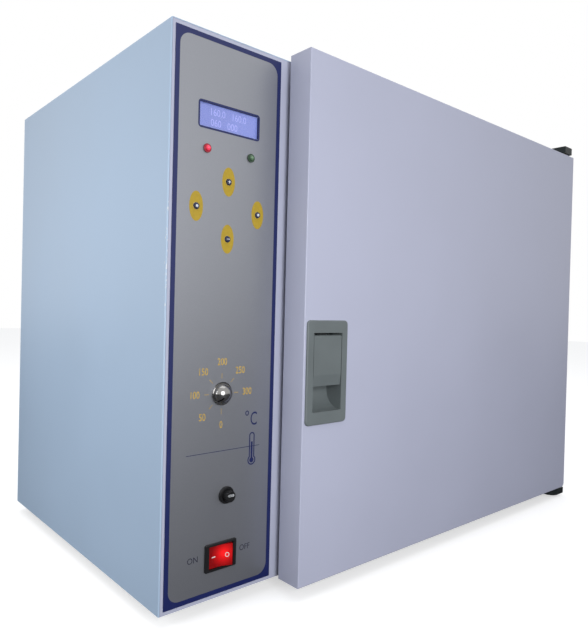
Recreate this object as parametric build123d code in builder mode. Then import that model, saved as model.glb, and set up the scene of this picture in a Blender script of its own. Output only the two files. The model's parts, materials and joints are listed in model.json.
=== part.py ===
from build123d import *
from math import cos, radians, sin
import os

# Bench-top hot-air sterilizer: a folded steel cabinet with a control column on the left and an
# insulated chamber behind one large door that is hinged on the right.
# Millimetres. +X right, +Y to the back, +Z up. The origin is on the bench, under the middle of the
# whole part's length and width.

# Cabinet
cabinet_width = 640
cabinet_depth = 365
cabinet_height = 480
sheet = 1.2
bend_radius = 2
sheet_edge = 1
sheet_slip = 0.2
return_width = 14
base_flange = 25
frame_flange = 18

# Chamber
stainless = 1.0
chamber_corner = 8
mouth_slip = 0.5
mouth_flange = 15
jacket_wall = 50
jacket_back = 55
jacket_side_air = 8.25
jacket_base_air = 9
jacket_top_air = 9
jacket_rear_air = 19

# Door
door_left = 119
door_rise = 1
door_over_top = 1
door_thickness = 28.5
door_gap = 6
door_corner = 6
door_edge = 0.8
door_return = 12
boss_margin = 11
boss_height = 8
boss_corner = 10
boss_taper = 5
slab_slip = 0.2
inner_panel_margin = 3
gasket_width = 10
gasket_inset = 2
gasket_gap = 0.3
gasket_round = 2

# Feet
foot_height = 12
foot_radius = 15
foot_taper = 2
foot_inset_x = 60
foot_inset_y = 75
foot_screw_radius = 2.5
foot_screw_recess = 6
foot_screw_head = 4.5
foot_screw_head_height = 3
foot_screw_slip = 0.5
foot_nut = 4

# Hinges
pin_radius = 4
pin_inset = 13
pin_depth = 18
pin_slip = 0.08
hinge_arm = 10
upper_lift = 4.3
upper_hinge_width = 20
upper_hinge_seat = 60
upper_hinge_nose = 12.5
lower_hinge_width = 29
lower_hinge_seat = 44
lower_hinge_round = 12
lower_hinge_thickness = 9
hinge_screws_each = 2
upper_screw_first = 27
upper_screw_pitch = 22
lower_screw_first = 14
lower_screw_pitch = 17
hinge_overhang = 1
bush_radius = 6
bush_flange_radius = 9
bush_flange = 0.8
bush_length = 16
block_width = 24
block_height = 20
block_depth = 22
block_slip = 0.2
hinge_screw_radius = 2.5
hinge_screw_head = 4.6
hinge_screw_slip = 0.2
hinge_screw_sink = 3
hinge_screw_end = 5
hinge_edge = 0.8

# Latch
latch_middle = 147
latch_rise = 193.2
latch_width = 51
latch_height = 94.7
latch_corner = 4
latch_plate = 2
latch_plate_edge = 1
latch_box_depth = 19
latch_box_inset = 2.5
latch_wall = 1.6
flap_width = 34.8
flap_base = 180.8
flap_top = 228.5
flap_plate = 3.2
flap_proud = 1.8
flap_slip = 0.6
barrel_radius = 4
latch_pin_radius = 1.5
latch_pin_slip = 0.08
recess_base = 157.5
flap_swing = 18
hook_width = 12
hook_plate = 3
hook_reach = 10
hook_nose = 4
hook_nose_length = 4
hook_nose_edge = 2
hook_slip = 0.4
hook_tab = 12
flap_lip = 10
flap_edge = 1
flap_rise = 1.2
flap_kick = 1.1
flap_relief = 6
spring_margin = 0.5
latch_slot_margin = 2.5
keeper_plate = 3
keeper_margin = 7
keeper_gap = 0.4
spring_wire = 0.8
spring_turns = 5
spring_slip = 0.4
spring_gap = 0.2

# Control panel
overlay_inset = 3.8
overlay_base = 3.3
overlay_width = 109.2
overlay_top = 4.7
overlay_thickness = 0.5
panel_middle = 58
display_drop = 70.4
display_width = 61
display_height = 20.7
display_corner = 2
window_margin = 3
window_thickness = 2
display_board_width = 80
display_board_height = 36
display_depth = 9
board_thickness = 1.6
lamp_drop = 98.2
lamp_spread = 45.3
lamp_radius = 2.5
lamp_flange_radius = 3.75
lamp_flange = 1
lamp_length = 12
lamp_slip = 0.1
button_drop = 147.2
button_spread_x = 31.7
button_spread_z = 24.4
button_radius = 2.5
button_slip = 0.3
button_proud = 1.2
button_travel = 1.0
button_flange_radius = 4
button_flange = 1
button_stem = 6
button_rest_gap = 0.3
button_edge = 0.5
switch_body_width = 6
switch_body_depth = 3.5
button_board_width = 84
button_board_height = 66
dial_middle = 55.7
dial_rise = 176
dial_radius = 8.8
dial_height = 7.5
dial_flange_radius = 10
dial_flange = 1
dial_gap = 0.4
dial_notch_width = 1.2
dial_notch_depth = 1.2
dial_notch_start = 4
dial_shaft_length = 14
dial_rest_angle = 45
dial_shaft_radius = 3
dial_shaft_slip = 0.08
dial_flat = 1
thermostat_width = 34
thermostat_height = 40
thermostat_depth = 26
thermostat_bush_radius = 4.8
fuse_middle = 62.4
fuse_rise = 87.7
fuse_flange_radius = 7.4
fuse_flange = 2.5
fuse_body_radius = 6.2
fuse_body_length = 34
fuse_bore = 5.2
fuse_cap_radius = 4.8
fuse_cap_proud = 8.5
fuse_cap_inside = 8
fuse_radius = 2.5
fuse_length = 20
fuse_slip = 0.1
fuse_hold = 6
fuse_grooves = 12
fuse_groove = 0.5
fuse_knurl = 3
switch_rise = 36.2
switch_width = 32
switch_height = 24
switch_bezel = 2.2
switch_bezel_edge = 0.7
switch_body_wall = 1.3
switch_body_length = 24
switch_window_width = 24.8
switch_window_height = 19.8
switch_corner = 1.5
rocker_half = 11.2
rocker_height = 18.8
rocker_rim = 5.6
rocker_middle = 3.8
rocker_back = 5
rocker_back_half = 5.6
rocker_tilt = 10
rocker_pivot_depth = 3
rocker_cavity = 9
trunnion_radius = 1.5
trunnion_reach = 0.8
trunnion_slip = 0.08

# Inside the chamber
floor_lift = 30
floor_side_gap = 3
floor_slot_length = 60
floor_slot_width = 6
floor_slot_pitch_x = 50
floor_slot_pitch_y = 84
floor_slot_margin_x = 40
floor_slot_margin_y = 20
heater_radius = 4
heater_legs = 6
heater_side_gap = 50
heater_front_gap = 30
heater_back_gap = 24
heater_rise = 14
heater_flat = 2
runner_pitch = 54
runner_first = 62
runner_headroom = 40
runner_ledge = 13
runner_sheet = 1.5
runner_upright = 14
runner_front_gap = 26
runner_back_gap = 14
ledges_below_shelves = 1
ledges_above_shelves = 1
shelf_rod = 3
shelf_corner = 9
shelf_wire = 1.25
shelf_wire_lift = 1.4
shelf_wires = 19
shelf_side_gap = 3
shelf_front_gap = 20
shelf_back_gap = 8
shelf_slip = 0.3
stiffener_rods = 2
stiffener_radius = 2

# Vent, sensors and the rear
vent_radius = 15
vent_wall = 1
vent_reach = 44
vent_drop = 35
vent_flap_slip = 0.6
vent_flap_plate = 1
vent_spindle = 2
vent_spindle_slip = 0.08
vent_spindle_front = 12
vent_knob_radius = 7
vent_knob_height = 9
vent_knob_gap = 3
vent_knob_grip = 1
vent_knob_grips = 10
vent_knob_edge = 1
vent_collar_radius = 23
vent_collar = 2
vent_bead_radius = 17
vent_bead = 2
vent_spigot = 20
probe_radius = 3
probe_reach = 60
probe_flange_radius = 8
probe_flange = 3
probe_lift = 10
probe_offset = 60
bulb_radius = 4
bulb_reach = 90
wall_position = 121.5
wall_flange = 10
board_width = 160
board_height = 110
board_rise = 190
board_back_gap = 70
standoff = 8
standoff_radius = 3
standoff_inset = 4.5
transformer_size = 42
transformer_depth = 31
board_part_offset = 40
board_relay_width = 21
board_relay_height = 14
board_relay_depth = 14
board_relay_pitch = 36
relay_width = 58
relay_depth = 45
relay_height = 25
inlet_rise = 70
inlet_flange_width = 50
inlet_flange_height = 24
inlet_flange = 2
inlet_body_width = 28
inlet_body_height = 20.5
inlet_body_depth = 20
inlet_socket_width = 24.5
inlet_socket_height = 16.8
inlet_socket_depth = 16
inlet_corner = 4
inlet_pin_pitch = 7
inlet_pin_width = 2
inlet_pin_height = 4
inlet_pin_length = 14
inlet_pin_offset = 2
inlet_screw_pitch = 40
louvre_width = 4
louvre_length = 60
louvre_pitch = 14
louvre_count = 9
louvre_rise = 300
small_screw_radius = 2
small_screw_head = 3.8
small_screw_head_height = 2.2
small_screw_length = 8
small_screw_edge = 0.6
rear_screw_inset = 7.5
rear_screw_rise = 30
rear_screws_high = 3
rear_screws_wide = 3
door_screw_inset = 8
door_screws_high = 3
door_screws_wide = 3

# Planes that the pieces are placed from
latch_reach = max(flap_proud, latch_plate)
front_reach = door_gap + door_thickness + latch_reach
front_y = front_reach - (front_reach + cabinet_depth + vent_reach) / 2
rear_y = front_y + cabinet_depth
left_x = -cabinet_width / 2
right_x = cabinet_width / 2
under_z = foot_height
top_z = under_z + cabinet_height
overlay_y = front_y - overlay_thickness
door_front_y = front_y - door_gap - door_thickness
door_back_y = front_y - door_gap
door_low_x = left_x + door_left
door_width = cabinet_width - door_left
door_middle_x = door_low_x + door_width / 2
door_low_z = under_z + door_rise
door_height = cabinet_height + door_over_top - door_rise
door_middle_z = door_low_z + door_height / 2
chamber_x = (left_x + wall_position + right_x) / 2
chamber_width = cabinet_width - wall_position - 2 * (jacket_side_air + jacket_wall + stainless)
chamber_low_z = under_z + jacket_base_air + jacket_wall + stainless
chamber_high_z = top_z - jacket_top_air - jacket_wall - stainless
chamber_height = chamber_high_z - chamber_low_z
chamber_middle_z = chamber_low_z + chamber_height / 2
chamber_depth = cabinet_depth - jacket_rear_air - jacket_back - stainless
chamber_back_y = front_y + chamber_depth
liner_width = chamber_width + 2 * stainless
liner_height = chamber_height + 2 * stainless
pin_x = right_x - pin_inset
pin_y = door_front_y + door_thickness / 2
panel_x = left_x + panel_middle
dial_x = left_x + dial_middle
dial_z = under_z + dial_rise
fuse_x = left_x + fuse_middle
fuse_z = under_z + fuse_rise
display_z = top_z - display_drop
lamp_z = top_z - lamp_drop
button_z = top_z - button_drop
switch_z = under_z + switch_rise
latch_x = left_x + latch_middle
latch_z = under_z + latch_rise
vent_z = chamber_high_z - vent_drop


def facing_front(y):
    """A sketch plane at depth y that faces the front: its own x is X and its own y is Z."""
    return Plane(origin=(0, y, 0), x_dir=(1, 0, 0), z_dir=(0, -1, 0))


def turned_outward(x, y, z):
    """A half-section plane for round pieces on a front-to-back axis: x is the radius, y points forward."""
    return Plane(origin=(x, y, z), x_dir=(1, 0, 0), z_dir=(0, 0, -1))


def front_axis(x, z):
    """The front-to-back axis through x, z."""
    return Axis((x, 0, z), (0, 1, 0))


# Where repeated pieces stand
lamp_places = {
    "red_lamp": panel_x - lamp_spread / 2,
    "green_lamp": panel_x + lamp_spread / 2,
}
button_places = {
    "button_up": (panel_x, button_z + button_spread_z),
    "button_down": (panel_x, button_z - button_spread_z),
    "button_left": (panel_x - button_spread_x, button_z),
    "button_right": (panel_x + button_spread_x, button_z),
}
sensor_z = chamber_middle_z + probe_lift
sensor_places = {
    "temperature_probe": (chamber_x - probe_offset, probe_radius, probe_reach),
    "safety_bulb": (chamber_x + probe_offset, bulb_radius, bulb_reach),
}
heater_z = chamber_low_z + heater_rise
heater_pitch = (chamber_width - 2 * heater_side_gap) / (heater_legs - 1)
heater_ends = [(chamber_x + side * heater_pitch * (heater_legs - 1) / 2, heater_z) for side in (-1, 1)]
foot_places = [
    (side * (cabinet_width / 2 - foot_inset_x), y)
    for side in (-1, 1)
    for y in (front_y + foot_inset_y, rear_y - foot_inset_y)
]
rear_screw_places = [
    (side * (cabinet_width / 2 - sheet - rear_screw_inset), z)
    for side in (-1, 1)
    for z in [
        under_z + rear_screw_rise + step * (cabinet_height - 2 * rear_screw_rise) / (rear_screws_high - 1)
        for step in range(rear_screws_high)
    ]
] + [
    (step * (cabinet_width / 2) / rear_screws_wide, top_z - sheet - rear_screw_inset)
    for step in range(1 - rear_screws_wide, rear_screws_wide, 2)
]
door_pitch_z = door_height / door_screws_high
door_pitch_x = door_width / door_screws_wide
door_screw_places = [
    (door_middle_x + side * (door_width / 2 - door_screw_inset), door_low_z + door_pitch_z * (step + 0.5))
    for side in (-1, 1)
    for step in range(door_screws_high)
] + [
    (door_low_x + door_pitch_x * (step + 0.5), door_middle_z + side * (door_height / 2 - door_screw_inset))
    for side in (-1, 1)
    for step in range(door_screws_wide)
]
upper_screw_places = [
    (pin_x, front_y + upper_screw_first + step * upper_screw_pitch) for step in range(hinge_screws_each)
]
lower_screw_places = [
    (pin_x, front_y + lower_screw_first + step * lower_screw_pitch) for step in range(hinge_screws_each)
]

# Latch places that several pieces share
latch_pin_y = door_front_y - flap_proud + flap_plate + barrel_radius
latch_pin_z = under_z + flap_top - barrel_radius
latch_box_back_y = door_front_y + latch_box_depth
hook_tip_y = front_y + hook_reach
nose_top_z = latch_pin_z + hook_plate / 2 + hook_nose
hook_length = hook_tip_y - latch_pin_y
hook_drop = hook_length * sin(radians(flap_swing))
slot_half_x = hook_width / 2 + latch_slot_margin
slot_high_z = nose_top_z + latch_slot_margin
slot_low_z = latch_pin_z - hook_plate - hook_drop - latch_slot_margin
slot_middle_z = (slot_low_z + slot_high_z) / 2
slot_height = slot_high_z - slot_low_z


# Outer wrap: left side, top and right side in one folded sheet, with returns for the rear panel
with BuildPart() as outer_shell:
    with BuildSketch(facing_front(front_y)) as wrap:
        with Locations((0, under_z + cabinet_height / 2)):
            Rectangle(cabinet_width, cabinet_height)
        fillet(wrap.vertices().group_by(Axis.Y)[-1], bend_radius)
        with Locations((0, under_z + (cabinet_height - sheet) / 2)):
            Rectangle(cabinet_width - 2 * sheet, cabinet_height - sheet, mode=Mode.SUBTRACT)
    extrude(amount=-cabinet_depth)
    front_outline = outer_shell.edges().group_by(Axis.Y)[0].filter_by(Axis.X).sort_by(Axis.Z)[-1]
    fillet(front_outline, sheet_edge)
    with BuildSketch(facing_front(rear_y - 2 * sheet)):
        with Locations((0, under_z + (cabinet_height - sheet) / 2)):
            Rectangle(cabinet_width - 2 * sheet, cabinet_height - sheet)
        with Locations((0, under_z + (cabinet_height - sheet - return_width) / 2)):
            Rectangle(
                cabinet_width - 2 * sheet - 2 * return_width,
                cabinet_height - sheet - return_width,
                mode=Mode.SUBTRACT,
            )
    extrude(amount=-sheet)
    with BuildSketch(facing_front(rear_y - 3 * sheet)):
        with Locations(*rear_screw_places):
            Circle(small_screw_radius)
    extrude(amount=-3 * sheet, mode=Mode.SUBTRACT)
    with BuildSketch(Plane.XY.offset(top_z - sheet)):
        with Locations(*upper_screw_places):
            Circle(hinge_screw_radius)
    extrude(amount=sheet, mode=Mode.SUBTRACT)

# Base pan: a tray between the sides of the wrap
base_width = cabinet_width - 2 * sheet - 2 * sheet_slip
base_front_y = front_y + sheet + sheet_slip
base_back_y = rear_y - 2 * sheet - sheet_slip
with BuildPart() as base_pan:
    with BuildSketch(Plane.XY.offset(under_z)):
        with Locations((0, (base_front_y + base_back_y) / 2)):
            Rectangle(base_width, base_back_y - base_front_y)
    extrude(amount=base_flange)
    offset(amount=-sheet, openings=base_pan.faces().sort_by(Axis.Z)[-1])
    with BuildSketch(Plane.XY.offset(under_z)):
        with Locations(*foot_places):
            Circle(foot_screw_radius)
        with Locations(*lower_screw_places):
            Circle(hinge_screw_radius)
    extrude(amount=sheet, mode=Mode.SUBTRACT)

# Rear panel: a flat sheet inside the wrap, on its returns
rear_width = cabinet_width - 2 * sheet - 2 * sheet_slip
rear_height = cabinet_height - sheet - sheet_slip
inlet_x = left_x + wall_position / 2
with BuildPart() as rear_panel:
    with BuildSketch(facing_front(rear_y - sheet)):
        with Locations((0, under_z + rear_height / 2)):
            Rectangle(rear_width, rear_height)
        with Locations((inlet_x, under_z + louvre_rise)):
            with GridLocations(0, louvre_pitch, 1, louvre_count):
                SlotOverall(louvre_length, louvre_width, mode=Mode.SUBTRACT)
        with Locations((inlet_x, under_z + inlet_rise)):
            RectangleRounded(inlet_body_width, inlet_body_height, inlet_corner, mode=Mode.SUBTRACT)
            with GridLocations(inlet_screw_pitch, 0, 2, 1):
                Circle(small_screw_radius, mode=Mode.SUBTRACT)
        with Locations((chamber_x, vent_z)):
            Circle(vent_radius, mode=Mode.SUBTRACT)
        with Locations(*rear_screw_places):
            Circle(small_screw_radius, mode=Mode.SUBTRACT)
    extrude(amount=-sheet)

# Front frame: the folded front sheet, with the chamber mouth, the latch slot and the control holes
frame_width = cabinet_width - 2 * sheet - 2 * sheet_slip
frame_height = cabinet_height - sheet - sheet_slip
frame_middle_z = under_z + frame_height / 2
with BuildPart() as front_frame:
    with BuildSketch(facing_front(front_y)):
        with Locations((0, frame_middle_z)):
            Rectangle(frame_width, frame_height)
    extrude(amount=-sheet)
    with BuildSketch(facing_front(front_y + sheet)):
        with Locations((0, frame_middle_z)):
            Rectangle(frame_width, frame_height)
        with Locations((0, frame_middle_z - sheet / 2)):
            Rectangle(frame_width - 2 * sheet, frame_height - sheet, mode=Mode.SUBTRACT)
        with Locations((0, under_z + base_flange / 2)):
            Rectangle(frame_width, base_flange + 2 * sheet_slip, mode=Mode.SUBTRACT)
    extrude(amount=-(frame_flange - sheet))
    with BuildSketch(facing_front(front_y)):
        with Locations((chamber_x, chamber_middle_z)):
            RectangleRounded(
                liner_width + 2 * mouth_slip, liner_height + 2 * mouth_slip, chamber_corner + stainless
            )
        with Locations((latch_x, slot_middle_z)):
            Rectangle(2 * slot_half_x, slot_height)
        with Locations((panel_x, display_z)):
            RectangleRounded(display_width, display_height, display_corner)
        with Locations(*[(x, lamp_z) for x in lamp_places.values()]):
            Circle(lamp_radius + lamp_slip)
        with Locations(*button_places.values()):
            Circle(button_radius + button_slip)
        with Locations((dial_x, dial_z)):
            Circle(thermostat_bush_radius)
        with Locations((fuse_x, fuse_z)):
            Circle(fuse_body_radius)
        with Locations((panel_x, switch_z)):
            Rectangle(switch_window_width + 2 * switch_body_wall, switch_window_height + 2 * switch_body_wall)
    extrude(amount=-sheet, mode=Mode.SUBTRACT)

# Control overlay: the thin plate on the front frame
overlay_x = left_x + overlay_inset + overlay_width / 2
overlay_height = cabinet_height - overlay_base - overlay_top
overlay_z = under_z + overlay_base + overlay_height / 2
with BuildPart() as control_overlay:
    with BuildSketch(facing_front(front_y)):
        with Locations((overlay_x, overlay_z)):
            Rectangle(overlay_width, overlay_height)
        with Locations((panel_x, display_z)):
            RectangleRounded(display_width, display_height, display_corner, mode=Mode.SUBTRACT)
        with Locations(*[(x, lamp_z) for x in lamp_places.values()]):
            Circle(lamp_radius + lamp_slip, mode=Mode.SUBTRACT)
        with Locations(*button_places.values()):
            Circle(button_radius + button_slip, mode=Mode.SUBTRACT)
        with Locations((dial_x, dial_z)):
            Circle(thermostat_bush_radius, mode=Mode.SUBTRACT)
        with Locations((fuse_x, fuse_z)):
            Circle(fuse_body_radius, mode=Mode.SUBTRACT)
        with Locations((panel_x, switch_z)):
            Rectangle(
                switch_window_width + 2 * switch_body_wall,
                switch_window_height + 2 * switch_body_wall,
                mode=Mode.SUBTRACT,
            )
    extrude(amount=overlay_thickness)

# Compartment wall: divides the control column from the heated part
wall_x = left_x + wall_position
wall_front_y = base_front_y + sheet + sheet_slip
wall_back_y = base_back_y - sheet - sheet_slip
wall_low_z = under_z + sheet
wall_high_z = top_z - 2 * sheet - 2 * sheet_slip
with BuildPart() as compartment_wall:
    with BuildSketch(Plane.XY.offset(wall_low_z)):
        with Locations((wall_x - sheet / 2, (wall_front_y + wall_back_y) / 2)):
            Rectangle(sheet, wall_back_y - wall_front_y)
    extrude(amount=wall_high_z - wall_low_z)
    with BuildSketch(Plane.XY.offset(wall_low_z)):
        with Locations((wall_x - wall_flange / 2, (wall_front_y + wall_back_y) / 2)):
            Rectangle(wall_flange, wall_back_y - wall_front_y)
    extrude(amount=sheet)

# Chamber liner: a stainless box, open at the front, with a flange on the front frame
with BuildPart() as chamber_liner:
    with BuildSketch(facing_front(front_y)):
        with Locations((chamber_x, chamber_middle_z)):
            RectangleRounded(liner_width, liner_height, chamber_corner + stainless)
    extrude(amount=-(chamber_depth + stainless))
    with BuildSketch(facing_front(front_y)):
        with Locations((chamber_x, chamber_middle_z)):
            RectangleRounded(liner_width + 2 * mouth_flange, liner_height + 2 * mouth_flange, chamber_corner)
    extrude(amount=stainless)
    with BuildSketch(facing_front(front_y - stainless)):
        with Locations((chamber_x, chamber_middle_z)):
            RectangleRounded(chamber_width, chamber_height, chamber_corner)
    extrude(amount=-(chamber_depth + stainless), mode=Mode.SUBTRACT)
    with BuildSketch(facing_front(chamber_back_y)):
        with Locations((chamber_x, vent_z)):
            Circle(vent_radius)
        for sensor_x, sensor_radius, sensor_reach in sensor_places.values():
            with Locations((sensor_x, sensor_z)):
                Circle(sensor_radius)
        with Locations(*heater_ends):
            Circle(heater_radius)
    extrude(amount=-stainless, mode=Mode.SUBTRACT)

# Insulation jacket round the liner
jacket_width = liner_width + 2 * jacket_wall
jacket_height = liner_height + 2 * jacket_wall
jacket_front_y = front_y + frame_flange + sheet_slip
jacket_back_y = chamber_back_y + stainless + jacket_back
with BuildPart() as liner_insulation:
    with BuildSketch(facing_front(jacket_front_y)):
        with Locations((chamber_x, chamber_middle_z)):
            Rectangle(jacket_width, jacket_height)
    extrude(amount=-(jacket_back_y - jacket_front_y))
    with BuildSketch(facing_front(jacket_front_y)):
        with Locations((chamber_x, chamber_middle_z)):
            RectangleRounded(liner_width, liner_height, chamber_corner + stainless)
    extrude(amount=-(chamber_back_y + stainless - jacket_front_y), mode=Mode.SUBTRACT)
    with BuildSketch(facing_front(chamber_back_y)):
        with Locations((chamber_x, vent_z)):
            Circle(vent_radius)
        for sensor_x, sensor_radius, sensor_reach in sensor_places.values():
            with Locations((sensor_x, sensor_z)):
                Circle(probe_flange_radius)
        with Locations(*heater_ends):
            Circle(heater_radius)
    extrude(amount=-(jacket_back_y - chamber_back_y), mode=Mode.SUBTRACT)

# Chamber floor plate: a slotted sheet on two folded legs over the heater
floor_width = chamber_width - 2 * floor_side_gap
floor_z = chamber_low_z + floor_lift
floor_length = chamber_depth - boss_height - 2 * floor_side_gap
floor_middle_y = front_y + boss_height + floor_side_gap + floor_length / 2
floor_slots_x = 1 + int((floor_width - floor_slot_width - 2 * floor_slot_margin_x) / floor_slot_pitch_x)
floor_slots_y = 1 + int((floor_length - floor_slot_length - 2 * floor_slot_margin_y) / floor_slot_pitch_y)
with BuildPart() as chamber_floor_plate:
    with BuildSketch(Plane.XY.offset(floor_z - stainless)):
        with Locations((chamber_x, floor_middle_y)):
            Rectangle(floor_width, floor_length)
            with GridLocations(floor_slot_pitch_x, floor_slot_pitch_y, floor_slots_x, floor_slots_y):
                SlotOverall(floor_slot_length, floor_slot_width, rotation=90, mode=Mode.SUBTRACT)
    extrude(amount=stainless)
    with BuildSketch(Plane.XY.offset(chamber_low_z)):
        with Locations((chamber_x, floor_middle_y)):
            with GridLocations(chamber_width - 2 * (chamber_corner + floor_side_gap), 0, 2, 1):
                Rectangle(stainless, floor_length)
    extrude(amount=floor_lift)

# Heating element: one tubular heater, bent back and forth under the floor plate
heater_low_y = front_y + heater_front_gap
heater_high_y = chamber_back_y - heater_back_gap
heater_points = []
for leg in range(heater_legs):
    leg_x = chamber_x + heater_pitch * (leg - (heater_legs - 1) / 2)
    near = (leg_x, heater_low_y)
    far = (leg_x, heater_high_y)
    heater_points += [far, near] if leg % 2 == 0 else [near, far]
heater_points[0] = (heater_points[0][0], jacket_back_y - 2 * heater_radius)
heater_points[-1] = (heater_points[-1][0], jacket_back_y - 2 * heater_radius)
with BuildPart() as heating_element:
    with BuildLine(Plane.XY.offset(heater_z)) as heater_path:
        FilletPolyline(*heater_points, radius=(heater_pitch - heater_flat) / 2)
    with BuildSketch(Plane(origin=heater_path.line @ 0, z_dir=heater_path.line % 0)):
        Circle(heater_radius)
    sweep()

# Shelf runners: two uprights and five ledges on each side wall
runner_levels = 1 + int((chamber_height - runner_first - runner_headroom) / runner_pitch)
runner_depth = chamber_depth - runner_front_gap - runner_back_gap
runner_low_z = chamber_low_z + floor_lift + sheet
runner_high_z = chamber_low_z + runner_first + runner_pitch * (runner_levels - 1) + 2 * runner_ledge
runner_middle_y = front_y + runner_front_gap + runner_depth / 2
runners = {}
for side, label in ((-1, "shelf_runner_left"), (1, "shelf_runner_right")):
    wall_face_x = chamber_x + side * chamber_width / 2
    with BuildPart() as runner:
        with BuildSketch(Plane.XY.offset(runner_low_z)):
            with Locations((wall_face_x - side * runner_sheet / 2, runner_middle_y)):
                with GridLocations(0, runner_depth - runner_upright, 1, 2):
                    Rectangle(runner_sheet, runner_upright)
        extrude(amount=runner_high_z - runner_low_z)
        with BuildSketch(Plane.XZ.offset(-(runner_middle_y - runner_depth / 2))):
            for level in range(runner_levels):
                ledge_z = chamber_low_z + runner_first + runner_pitch * level
                with Locations((wall_face_x - side * runner_ledge / 2, ledge_z - runner_sheet / 2)):
                    Rectangle(runner_ledge, runner_sheet)
                with Locations((wall_face_x - side * runner_sheet / 2, ledge_z - runner_ledge / 2)):
                    Rectangle(runner_sheet, runner_ledge)
        extrude(amount=-runner_depth)
    runners[label] = runner

# Wire shelves: a rod frame, wires from front to back on it and stiffener rods across
shelf_width = chamber_width - 2 * runner_sheet - 2 * shelf_side_gap
shelf_length = chamber_depth - shelf_front_gap - shelf_back_gap
shelf_middle_y = front_y + shelf_front_gap + shelf_length / 2
shelf_levels = (ledges_below_shelves, runner_levels - 1 - ledges_above_shelves)
shelves = {}
for label, level in zip(("lower_shelf", "upper_shelf"), shelf_levels):
    shelf_z = chamber_low_z + runner_first + runner_pitch * level + shelf_rod + shelf_slip
    with BuildPart() as shelf:
        with BuildLine(Plane.XY.offset(shelf_z)) as shelf_loop:
            half_x = shelf_width / 2 - shelf_rod
            half_y = shelf_length / 2 - shelf_rod
            FilletPolyline(
                (chamber_x - half_x, shelf_middle_y - half_y),
                (chamber_x + half_x, shelf_middle_y - half_y),
                (chamber_x + half_x, shelf_middle_y + half_y),
                (chamber_x - half_x, shelf_middle_y + half_y),
                radius=shelf_corner,
                close=True,
            )
        with BuildSketch(Plane(origin=shelf_loop.line @ 0, z_dir=shelf_loop.line % 0)):
            Circle(shelf_rod)
        sweep()
        with BuildSketch(Plane.XZ.offset(-(shelf_middle_y - half_y))):
            with Locations((chamber_x, shelf_z + shelf_wire_lift)):
                with GridLocations(shelf_width / (shelf_wires + 1), 0, shelf_wires, 1):
                    Circle(shelf_wire)
        extrude(amount=-2 * half_y)
        with BuildSketch(Plane.YZ.offset(chamber_x - half_x)):
            with Locations((shelf_middle_y, shelf_z)):
                with GridLocations(shelf_length / (stiffener_rods + 1), 0, stiffener_rods, 1):
                    Circle(stiffener_radius)
        extrude(amount=2 * half_x)
    shelves[label] = shelf

# Vent duct: a tube from the chamber through the rear panel, with a collar on the panel and a bead
# that stops a hose on the spigot
vent_end_y = rear_y + vent_reach
vent_spindle_y = rear_y + vent_spindle_front
with BuildPart() as vent_duct:
    with BuildSketch(facing_front(chamber_back_y)):
        with Locations((chamber_x, vent_z)):
            Circle(vent_radius)
            Circle(vent_radius - vent_wall, mode=Mode.SUBTRACT)
    extrude(amount=-(vent_end_y - chamber_back_y))
    with BuildSketch(facing_front(rear_y)):
        with Locations((chamber_x, vent_z)):
            Circle(vent_collar_radius)
            Circle(vent_radius - vent_wall, mode=Mode.SUBTRACT)
    extrude(amount=-vent_collar)
    with BuildSketch(facing_front(vent_end_y - vent_spigot)):
        with Locations((chamber_x, vent_z)):
            Circle(vent_bead_radius)
            Circle(vent_radius - vent_wall, mode=Mode.SUBTRACT)
    extrude(amount=vent_bead)
    with BuildSketch(Plane.XY.offset(vent_z)):
        with Locations((chamber_x, vent_spindle_y)):
            Circle(vent_spindle + vent_spindle_slip)
    extrude(amount=vent_radius, both=True, mode=Mode.SUBTRACT)

# Vent flap: a disc on a spindle across the duct, turned by a knob on top
knob_low_z = vent_z + vent_radius + vent_knob_gap
with BuildPart() as vent_flap:
    with BuildSketch(Plane.YZ.offset(chamber_x - vent_flap_plate / 2)):
        with Locations((vent_spindle_y, vent_z)):
            Circle(vent_radius - vent_wall - vent_flap_slip)
    extrude(amount=vent_flap_plate)
    with BuildSketch(Plane.XY.offset(vent_z - vent_radius - vent_spindle)):
        with Locations((chamber_x, vent_spindle_y)):
            Circle(vent_spindle)
    extrude(amount=knob_low_z - vent_z + vent_radius + vent_spindle)
    with BuildSketch(Plane.XY.offset(knob_low_z)):
        with Locations((chamber_x, vent_spindle_y)):
            Circle(vent_knob_radius)
    extrude(amount=vent_knob_height)
    chamfer(vent_flap.faces().sort_by(Axis.Z)[-1].edges(), vent_knob_edge)
    with BuildSketch(Plane.XY.offset(knob_low_z)):
        with Locations((chamber_x, vent_spindle_y)):
            with PolarLocations(vent_knob_radius, vent_knob_grips):
                Circle(vent_knob_grip)
    extrude(amount=vent_knob_height, mode=Mode.SUBTRACT)

# Temperature probe and the safety thermostat's bulb: sheathed tubes through the chamber's back wall
sensors = {}
for label, (sensor_x, sensor_radius, sensor_reach) in sensor_places.items():
    with BuildPart() as sensor:
        with BuildSketch(turned_outward(sensor_x, chamber_back_y, sensor_z)):
            with BuildLine():
                Polyline(
                    (0, -stainless - probe_flange),
                    (probe_flange_radius, -stainless - probe_flange),
                    (probe_flange_radius, -stainless),
                    (sensor_radius, -stainless),
                    (sensor_radius, sensor_reach - sensor_radius),
                )
                RadiusArc((sensor_radius, sensor_reach - sensor_radius), (0, sensor_reach), -sensor_radius)
                Line((0, sensor_reach), (0, -stainless - probe_flange))
            make_face()
        revolve(axis=front_axis(sensor_x, sensor_z))
    sensors[label] = sensor

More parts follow.
